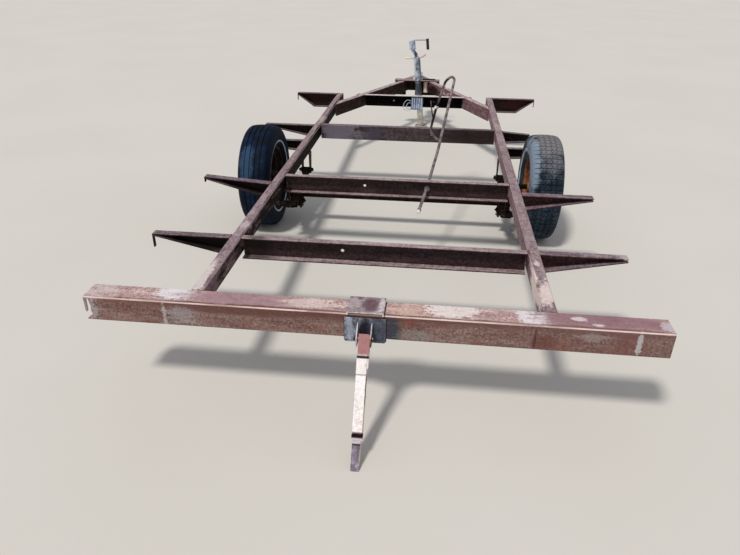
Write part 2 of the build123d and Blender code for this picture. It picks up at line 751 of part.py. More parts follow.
# Shackles: two links and two bolts that carry each spring's rear eye
for side, name in ((-1, "shackle_left"), (1, "shackle_right")):
    with BuildPart() as shackle:
        for cheek in (-1, 1):
            with BuildSketch(Plane.YZ.offset(side * rail_centre + cheek * cheek_middle)):
                with Locations((at(rear_eye), (shackle_top + eye_height) / 2)):
                    SlotCenterToCenter(shackle_top - eye_height, eye_dia - lug_rim, rotation=90)
            extrude(amount=hanger_thick / 2, both=True)
        with BuildSketch(Plane.YZ.offset(side * rail_centre)):
            with Locations((at(rear_eye), eye_height), (at(rear_eye), shackle_top)):
                Circle(eye_bolt_dia / 2)
        extrude(amount=cheek_inner + hanger_thick + bolt_proud, both=True)
    save(shackle.part, name)

# Wheels: rim, dished disc and hub in one, and the tyre on it
# the profiles are drawn as distance out from the wheel's middle plane and radius from the spindle
rim_half = rim_width / 2
rim_lip = rim_half - rim_thick
well_top = rim_half - rim_seat
well_floor = well_top - well_slope
well_radius = rim_radius - well_depth
rim_inside = rim_radius - rim_thick
well_inside = well_radius - rim_thick
disc_back = disc_face - disc_thick
crown_face = disc_face + disc_crown
crown_back = crown_face - disc_thick
disc_flat = hub_flange_dia / 2 + disc_thick
disc_bend = (disc_flat + well_inside) / 2
hub_bore = spindle_dia / 2 + running_gap
hub_face = disc_back + 1
hub_back = hub_face - hub_flange_thick
cap_start = spindle_reach + cap_room
cap_end = cap_start + hub_cap_length
tyre_half = tyre_width / 2
bead_radius = rim_radius + seat_gap
bead_out = rim_lip - bead_gap
sidewall_radius = (bead_radius + tyre_radius) / 2
outer_tyre = (
    (bead_out, bead_radius),
    (bead_out, rim_flange_radius + flange_gap),
    (tyre_half, sidewall_radius),
    (tyre_half - shoulder_tuck, tyre_radius - shoulder_drop),
    (tyre_half - tread_tuck, tyre_radius - tread_drop),
    (tyre_half - crown_tuck, tyre_radius),
)
inner_tyre = (
    (bead_out - bead_thick, bead_radius),
    (tyre_half - tyre_wall, sidewall_radius),
    (tyre_half - tread_tuck - tyre_wall, tyre_radius - tread_drop - tread_thick),
)
for side, name in ((-1, "left"), (1, "right")):
    wheel_plane = Plane(origin=(side * wheel_offset, at(axle_station), tyre_radius), x_dir=(side, 0, 0),
                        z_dir=(0, -side, 0))
    spin = Axis((side * wheel_offset, at(axle_station), tyre_radius), (1, 0, 0))
    with BuildPart() as wheel:
        with BuildSketch(wheel_plane):
            with BuildLine():
                Polyline((-rim_half, rim_inside), (-rim_half, rim_flange_radius),
                         (-rim_lip, rim_flange_radius), (-rim_lip, rim_radius),
                         (-well_top, rim_radius), (-well_floor, well_radius),
                         (well_floor, well_radius), (well_top, rim_radius),
                         (rim_lip, rim_radius), (rim_lip, rim_flange_radius),
                         (rim_half, rim_flange_radius), (rim_half, rim_inside),
                         (well_top, rim_inside), (well_floor, well_inside),
                         (-well_floor, well_inside), (-well_top, rim_inside), close=True)
            make_face()
        revolve(axis=spin)
        with BuildSketch(wheel_plane):
            with BuildLine():
                Polyline((disc_face, hub_dia / 2), (disc_face, disc_flat),
                         (crown_face, disc_bend - disc_thick), (crown_face, disc_bend + disc_thick),
                         (0, well_inside + 1), (-disc_thick, well_inside + 1),
                         (crown_back, disc_bend + disc_thick / 2), (crown_back, disc_bend - disc_thick / 2),
                         (disc_back, disc_flat + disc_thick / 2), (disc_back, hub_dia / 2), close=True)
            make_face()
        revolve(axis=spin)
        with BuildSketch(wheel_plane):
            with BuildLine():
                Polyline((-hub_inboard, hub_bore), (-hub_inboard, hub_dia / 2), (hub_back, hub_dia / 2),
                         (hub_back, hub_flange_dia / 2), (hub_face, hub_flange_dia / 2),
                         (hub_face, hub_dia / 2), (cap_start, hub_dia / 2), (cap_end, hub_dia / 3),
                         (cap_end, 0), (cap_start, 0), (cap_start, hub_bore), close=True)
            make_face()
        revolve(axis=spin)
        with BuildSketch(Plane.YZ.offset(side * (wheel_offset + hub_face - 1))):
            with Locations((at(axle_station), tyre_radius)):
                with PolarLocations(stud_circle / 2, stud_count, start_angle=90):
                    Circle(stud_dia / 2)
        extrude(amount=side * stud_length)
    save(wheel.part, f"wheel_{name}")

    with BuildPart() as tyre:
        with BuildSketch(wheel_plane):
            with BuildLine():
                Polyline(*outer_tyre, *[(-out, radius) for out, radius in reversed(outer_tyre)],
                         *[(-out, radius) for out, radius in inner_tyre], *reversed(inner_tyre), close=True)
            make_face()
        revolve(axis=spin)
    save(tyre.part, f"tyre_{name}")

# Rear stand bracket: a plate on the bumper's rear face, two ears and the pin
ear_inner = sleeve_side / 2 + strap_thick + 0.6
pivot_y = at(-stand_pivot_back)
ear_root = at(-stand_plate_thick)
ear_above = 44.0
ear_below = 34.0
ear_reach = 18.0
pin_proud = 6.0
plate_top = frame_top - stand_plate_low
with BuildPart() as stand_bracket:
    with BuildSketch(Plane.XZ.offset(-at(0))):
        with Locations((stand_offset, plate_top - stand_plate_depth / 2)):
            RectangleRounded(stand_plate_width, stand_plate_depth, 5)
    extrude(amount=stand_plate_thick)
    for side in (-1, 1):
        with BuildSketch(Plane.YZ.offset(stand_offset + side * (ear_inner + stand_ear_thick / 2))):
            with BuildLine():
                Polyline((ear_root, stand_pivot_height + ear_above),
                         (ear_root, stand_pivot_height - ear_below),
                         (pivot_y - ear_reach / 3, stand_pivot_height - ear_below),
                         (pivot_y - ear_reach, stand_pivot_height - ear_below / 3),
                         (pivot_y - ear_reach, stand_pivot_height + ear_below / 3), close=True)
            make_face()
        extrude(amount=stand_ear_thick / 2, both=True)
    with BuildSketch(Plane.YZ.offset(stand_offset)):
        with Locations((pivot_y, stand_pivot_height)):
            Circle(stand_pin_dia / 2)
    extrude(amount=ear_inner + stand_ear_thick + pin_proud, both=True)
save(stand_bracket.part, "stand_bracket")

# Cap over the bumper above the stand, an upturned shallow channel
with BuildPart() as stand_cap:
    with BuildSketch(Plane.XZ.offset(-at(-cap_overhang))):
        with Locations((stand_offset, frame_top + cap_rise - cap_thick / 2)):
            Rectangle(cap_width, cap_thick)
        for side in (-1, 1):
            with Locations((stand_offset + side * (cap_width - cap_thick) / 2, frame_top + cap_rise / 2)):
                Rectangle(cap_thick, cap_rise)
    extrude(amount=-(bumper_side + cap_overhang))
save(stand_cap.part, "stand_cap")

# Rear stand: a head and sleeve that swing on the pin, and an inner leg that slides out of the sleeve
lean = math.radians(stand_lean)
stand_run = (0, -math.sin(lean), -math.cos(lean))
stand_axis = Plane(origin=(stand_offset, pivot_y, stand_pivot_height), x_dir=(1, 0, 0), z_dir=stand_run)
head_depth = 26.0
head_narrow = 3.0
head_above = 16.0
head_lap = 8.0
strap_above = 14.0
strap_sink = 1.5
sleeve_corner = 4.0
with BuildPart() as stand_sleeve:
    with BuildSketch(stand_axis.offset(sleeve_start)):
        add(tube_section(sleeve_side, sleeve_side, sleeve_wall, sleeve_corner))
    extrude(amount=sleeve_end - sleeve_start)
    with BuildSketch(stand_axis.offset(-head_above)):
        Rectangle(sleeve_side - head_narrow, head_depth)
    extrude(amount=head_above + sleeve_start + head_lap)
    with BuildSketch(stand_axis.offset(-strap_above)):
        with Locations((sleeve_side / 2 + strap_thick / 2 - strap_sink, 0)):
            Rectangle(strap_thick + 2 * strap_sink, head_depth)
    extrude(amount=strap_above + strap_length)
    with BuildSketch(stand_axis.offset(sleeve_start + head_lap)):
        RectangleRounded(sleeve_side - 2 * sleeve_wall, sleeve_side - 2 * sleeve_wall, 1.0)
    extrude(amount=sleeve_end - sleeve_start, mode=Mode.SUBTRACT)
    with BuildSketch(Plane.YZ.offset(stand_offset - sleeve_side)):
        with Locations((pivot_y, stand_pivot_height)):
            Circle(stand_pin_dia / 2 + pin_gap)
    extrude(amount=2 * sleeve_side, mode=Mode.SUBTRACT)
save(stand_sleeve.part, "stand_sleeve")

leg_to_ground = stand_pivot_height / math.cos(lean)
collar_gap = 6.0
collar_length = 20.0
leg_overlap = 150.0
leg_spare = 40.0
with BuildPart() as stand_leg:
    with BuildSketch(stand_axis.offset(sleeve_end - leg_overlap)):
        add(tube_section(inner_side, inner_side, stand_leg_wall, 3.0))
    extrude(amount=leg_to_ground - sleeve_end + leg_overlap + leg_spare)
    with BuildSketch(stand_axis.offset(sleeve_end + collar_gap)):
        Rectangle(sleeve_side, sleeve_side)
        Rectangle(inner_side - 2, inner_side - 2, mode=Mode.SUBTRACT)
    extrude(amount=collar_length)
    split(bisect_by=Plane.XY, keep=Keep.TOP)
save(stand_leg.part, "stand_leg")
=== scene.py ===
import math
import random
from functools import partial

import bmesh
import bpy
from mathutils import Matrix, Vector


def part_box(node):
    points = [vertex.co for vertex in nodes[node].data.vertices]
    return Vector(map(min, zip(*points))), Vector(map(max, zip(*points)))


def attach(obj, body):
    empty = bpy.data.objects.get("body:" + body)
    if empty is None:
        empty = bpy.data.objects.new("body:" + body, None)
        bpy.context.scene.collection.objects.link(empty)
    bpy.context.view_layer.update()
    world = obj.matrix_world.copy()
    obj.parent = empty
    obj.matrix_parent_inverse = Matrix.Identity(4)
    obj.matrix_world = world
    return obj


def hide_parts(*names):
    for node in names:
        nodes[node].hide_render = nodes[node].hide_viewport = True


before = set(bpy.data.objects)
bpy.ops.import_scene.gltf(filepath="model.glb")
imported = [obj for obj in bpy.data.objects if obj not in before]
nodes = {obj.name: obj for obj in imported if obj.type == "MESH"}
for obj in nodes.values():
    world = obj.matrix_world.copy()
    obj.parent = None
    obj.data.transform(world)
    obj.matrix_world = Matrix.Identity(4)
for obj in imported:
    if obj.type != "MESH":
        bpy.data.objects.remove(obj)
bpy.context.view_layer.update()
bothSides = (("left", -1), ("right", 1))
print("frame loaded,", len(nodes), "nodes")


# where the photograph was taken from: just behind the bumper, a little to the right, at eye height
viewpoint = {
    "place": (0.2061, -4.1289, 1.6067),
    "pitchDown": 28.41,
    "turnLeft": 6.02,
    "roll": 0.51,
    "focalPixels": 608.9,
    "imageWidth": 740,
    "sensor": 36.0,
}

# soft studio light with the key where the sun stood
light = {
    "keyDirection": (0.32, 0.57, -1.0),
    "keyStrength": 2.1,
    "keySpread": 8.0,
    "keyColour": "#fffaf2",
    "skyColour": "#f4f7ff",
    "skyStrength": 0.42,
    "floorSize": 90.0,
    "floorTones": ("#d8d4cc", "#e1ded8"),
}


def linear(hexCode):
    # sRGB hex to the linear colour that the shaders take
    parts = [int(hexCode[start:start + 2], 16) / 255 for start in (1, 3, 5)]
    return tuple(part / 12.92 if part <= 0.04045 else ((part + 0.055) / 1.055) ** 2.4 for part in parts) + (1.0,)


def addNode(tree, kind, links=None, values=None, stops=None, **settings):
    # one node with its incoming links, its socket values, a ramp's places and colours, and its settings;
    # a link that starts at a node takes its first output in use
    node = tree.nodes.new("ShaderNode" + kind)
    for name, value in settings.items():
        setattr(node, name, value)
    for socket, value in (values or {}).items():
        node.inputs[socket].default_value = value
    for socket, source in (links or {}).items():
        if isinstance(source, bpy.types.Node):
            source = next(output for output in source.outputs if output.enabled)
        tree.links.new(source, node.inputs[socket])
    if stops:
        ramp = node.color_ramp
        while len(ramp.elements) < len(stops[0]):
            ramp.elements.new(0.5)
        for element, position, hexCode in zip(ramp.elements, *stops):
            element.position = position
            element.color = linear(hexCode)
    return node


def startMaterial(name):
    # an empty material, what adds nodes to it, its coordinates in the object's own metres and the
    # surface's direction
    material = bpy.data.materials.new(name)
    material.use_nodes = True
    material.node_tree.nodes.clear()
    add = partial(addNode, material.node_tree)
    coords = add("TexCoord").outputs
    return material, add, coords["Object"], coords["Normal"]


def endMaterial(add, colour, roughness, height, depth, metallic=0.0, specular=0.5):
    # the surface's bump, its shader and the output; depth is the relief in metres
    bump = add("Bump", {"Height": height}, {"Strength": 1.0, "Distance": depth})
    surface = add("BsdfPrincipled", {"Base Color": colour, "Roughness": roughness, "Normal": bump},
                  {"Metallic": metallic, "Specular IOR Level": specular})
    add("OutputMaterial", {"Surface": surface})


def spread(add, place, rim, colour, rows):
    # patches laid over a colour one after the other: centre, reach, tint, strength; rim makes them ragged
    for centre, reach, tint, strength in rows:
        away = add("VectorMath", {0: place}, {1: centre}, operation="SUBTRACT")
        scaled = add("VectorMath", {0: away}, {1: reach}, operation="DIVIDE")
        far = add("VectorMath", {0: scaled}, operation="LENGTH")
        within = add("Math", {0: rim, 1: far}, operation="SUBTRACT")
        share = add("MapRange", {"Value": within}, {"From Min": -0.05, "From Max": 0.45, "To Max": strength},
                    interpolation_type="SMOOTHSTEP")
        colour = add("Mix", {0: share, 6: colour}, {7: linear(tint)}, data_type="RGBA")
    return colour


def addObject(name, data):
    # an object round its data, in the scene
    obj = bpy.data.objects.new(name, data)
    bpy.context.scene.collection.objects.link(obj)
    return obj


# camera, key light, sky and floor
pitch, turn, roll = (math.radians(viewpoint[key]) for key in ("pitchDown", "turnLeft", "roll"))
forward = Vector((-math.sin(turn) * math.cos(pitch), math.cos(turn) * math.cos(pitch), -math.sin(pitch)))
level = Vector((math.cos(turn), math.sin(turn), 0))
upright = level.cross(forward)
acrossView = level * math.cos(roll) + upright * math.sin(roll)
upView = upright * math.cos(roll) - level * math.sin(roll)
cameraData = bpy.data.cameras.new("viewCamera")
cameraData.sensor_width = viewpoint["sensor"]
cameraData.lens = viewpoint["focalPixels"] / viewpoint["imageWidth"] * viewpoint["sensor"]
camera = addObject("viewCamera", cameraData)
facing = Matrix((acrossView, upView, -forward)).transposed().to_4x4()
camera.matrix_world = Matrix.Translation(viewpoint["place"]) @ facing
bpy.context.scene.camera = camera

keyData = bpy.data.lights.new("keyLight", "SUN")
keyData.energy = light["keyStrength"]
keyData.angle = math.radians(light["keySpread"])
keyData.color = linear(light["keyColour"])[:3]
addObject("keyLight", keyData).rotation_euler = Vector(light["keyDirection"]).to_track_quat("-Z", "Y").to_euler()

world = bpy.data.worlds.new("studioSky")
world.use_nodes = True
world.node_tree.nodes.clear()
sky = addNode(world.node_tree, "Background",
              values={"Color": linear(light["skyColour"]), "Strength": light["skyStrength"]})
addNode(world.node_tree, "OutputWorld", {"Surface": sky})
bpy.context.scene.world = world
bpy.context.scene.view_settings.view_transform = "Standard"

half = light["floorSize"] / 2
floorMesh = bpy.data.meshes.new("floor")
floorMesh.from_pydata([(-half, -half, 0), (half, -half, 0), (half, half, 0), (-half, half, 0)], [], [(0, 1, 2, 3)])
addObject("floor", floorMesh)
floorMaterial, add, place, normal = startMaterial("sweptConcreteFloor")  # pale, matt, faintly clouded
clouds = add("TexNoise", {"Vector": place}, {"Scale": 0.8, "Detail": 3.0})
dark, pale = (linear(hexCode) for hexCode in light["floorTones"])
tone = add("Mix", {0: clouds}, {6: dark, 7: pale}, data_type="RGBA")
fine = add("MapRange", {"Value": clouds}, {"To Min": 0.85, "To Max": 0.95})
endMaterial(add, tone, fine, clouds, 0.0005)
floorMesh.materials.append(floorMaterial)
print("camera, light and floor set")


# grain is the length of the smears along each axis in metres
alongX = (0.16, 0.03, 0.03)
alongY = (0.03, 0.16, 0.03)
alongZ = (0.03, 0.03, 0.10)
bumperRear = -2.2914
# the stand's own frame: its pin, and the turn that brings its length to the vertical
standFrame = ((-0.004, -2.33134, 0.380), (math.radians(-33), 0.0, 0.0))
paintSteps = (0.3, 0.46, 0.58, 0.72)
# what a painted finish has unless it, or the one that it is like, says otherwise; mottle is its size in mm
paintBase = {
    "sunnedAt": paintSteps, "shadedAt": paintSteps, "grain": alongX, "mottle": 16, "ragged": 1.0, "sunFrom": 0.72,
    "specular": 0.1, "ownFrame": None, "patches": (),
}


def rustedPaint(name, look):
    # red enamel brushed on hot-rolled mild steel: chalky pink on the faces that face up and maroon on the others,
    # partly sun-faded paint and partly painted sunlight and painted shade; brown rust through it in blots, pale flakes
    # where it lifts, wide patches where it has bleached or stained and others of painted shade, rust freckles over all
    # of it, and a pale line along each bend that faces half up, part rubbed paint and part painted highlight
    look = {**paintBase, **paints.get(look.get("like"), {}), **look}
    material, add, place, normal = startMaterial(name)
    if look["ownFrame"]:
        place = add("Mapping", {"Vector": place}, dict(zip(("Location", "Rotation"), look["ownFrame"])),
                    vector_type="TEXTURE")
    up = add("SeparateXYZ", {0: normal}).outputs[2]
    skyward = add("MapRange", {"Value": up}, {"From Min": look["sunFrom"], "From Max": look["sunFrom"] + 0.2})
    blot, mottle, grit, lifting, freckles = (
        add("TexNoise", {"Vector": place},
            {"Scale": 1000 / size, "Detail": detail, "Roughness": roughness, "Distortion": distortion})
        for size, detail, roughness, distortion in (
            (75, 6.0, 0.62, 0.0),  # rust blots, in mm
            (look["mottle"], 5.0, 0.7, 0.0),
            (4, 2.0, 0.5, 0.0),  # scale, coarser than real so that it shows
            (28, 8.0, 0.72, 0.4),  # lifted flakes
            (11, 4.0, 0.75, 0.0),  # freckles, coarser than real so that they show
        ))
    drawn = add("Mapping", {"Vector": place}, {"Scale": [1 / size for size in look["grain"]]})
    smear = add("TexNoise", {"Vector": drawn},
                {"Scale": 1.0, "Detail": 5.0, "Roughness": 0.62})  # wiped and rained along the member

    # the paint's tone varies over the mottling, along the smears and in the scale
    tone = add("Math", {0: smear, 2: mottle}, {1: 0.75}, operation="MULTIPLY_ADD")
    tone = add("Math", {0: grit, 2: tone}, {1: 0.4}, operation="MULTIPLY_ADD")
    tone = add("MapRange", {"Value": tone}, {"From Min": 0.75, "From Max": 1.4, "To Min": 0.2, "To Max": 0.8})
    # faces that face up take the sunned tones and the rest the shaded ones: lit and shaded copies of the paint, partly
    # its fading and partly painted light and shade
    sunned = add("ValToRGB", {0: tone}, stops=(look["sunnedAt"], look["sunned"]))
    shaded = add("ValToRGB", {0: tone}, stops=(look["shadedAt"], look["shaded"]))
    paint = add("Mix", {0: skyward, 6: shaded, 7: sunned}, data_type="RGBA")
    *rustTones, rustShare = look["rust"]
    rust = add("ValToRGB", {0: grit}, stops=((0.3, 0.6), rustTones))

    # rust and lifted flakes
    blotted = add("Math", {0: mottle, 2: blot}, {1: 0.55}, operation="MULTIPLY_ADD")
    blotted = add("Math", {0: smear, 2: blotted}, {1: 0.35}, operation="MULTIPLY_ADD")
    rustStart = 1.28 - 0.55 * rustShare
    rusted = add("MapRange", {"Value": blotted},
                 {"From Min": rustStart - 0.08, "From Max": rustStart + 0.08, "To Max": 0.85})
    colour = add("Mix", {0: rusted, 6: paint, 7: rust}, data_type="RGBA")
    flakeTint, flakeShare = look["flake"]
    flakeStart = 0.8 - 0.3 * flakeShare
    flakes = add("MapRange", {"Value": lifting},
                 {"From Min": flakeStart, "From Max": flakeStart + 0.09, "To Max": 0.8})
    colour = add("Mix", {0: flakes, 6: colour}, {7: linear(flakeTint)}, data_type="RGBA")

    # the patches' ragged rim follows the smears and the mottling
    ragged = look["ragged"]
    rim = add("Math", {0: smear}, {1: 2.1 * ragged, 2: 1.0 - 1.65 * ragged}, operation="MULTIPLY_ADD")
    rim = add("Math", {0: mottle, 2: rim}, {1: 1.2 * ragged}, operation="MULTIPLY_ADD")
    colour = spread(add, place, rim, colour, look["patches"])
    spots = add("MapRange", {"Value": freckles}, {"From Min": 0.58, "From Max": 0.7, "To Max": look["freckle"]})
    colour = add("Mix", {0: spots, 6: colour, 7: rust}, data_type="RGBA")
    cloud = add("MapRange", {"Value": mottle}, {"From Min": 0.3, "From Max": 0.7, "To Min": 0.88, "To Max": 1.1})
    colour = add("Mix", {6: colour, 7: cloud}, {0: 1.0}, data_type="RGBA", blend_type="MULTIPLY")

    # the bends of tubes and channels face half up: there a pale line is painted, partly paint rubbed through and partly
    # a painted highlight
    low = add("MapRange", {"Value": up}, {"From Min": 0.3, "From Max": 0.45})
    high = add("MapRange", {"Value": up}, {"From Min": 0.97, "From Max": 0.9})
    bent = add("Math", {0: low, 1: high}, operation="MULTIPLY")
    edgeTint, edgeLineShare = look["edge"]
    broken = add("MapRange", {"Value": smear},
                 {"From Min": 0.38, "From Max": 0.6, "To Min": edgeLineShare * 0.4, "To Max": edgeLineShare})
    rubbedAndLitEdge = add("Math", {0: bent, 1: broken}, operation="MULTIPLY")
    colour = add("Mix", {0: rubbedAndLitEdge, 6: colour}, {7: linear(edgeTint)}, data_type="RGBA")

    rough = add("MapRange", {"Value": rusted}, {"To Min": 0.62, "To Max": 0.92})
    scab = add("Math", {0: rusted, 1: grit}, operation="MULTIPLY")
    lifted = add("Math", {0: flakes, 2: scab}, {1: 0.5}, operation="MULTIPLY_ADD")
    endMaterial(add, colour, rough, lifted, 0.001, specular=look["specular"])
    return material


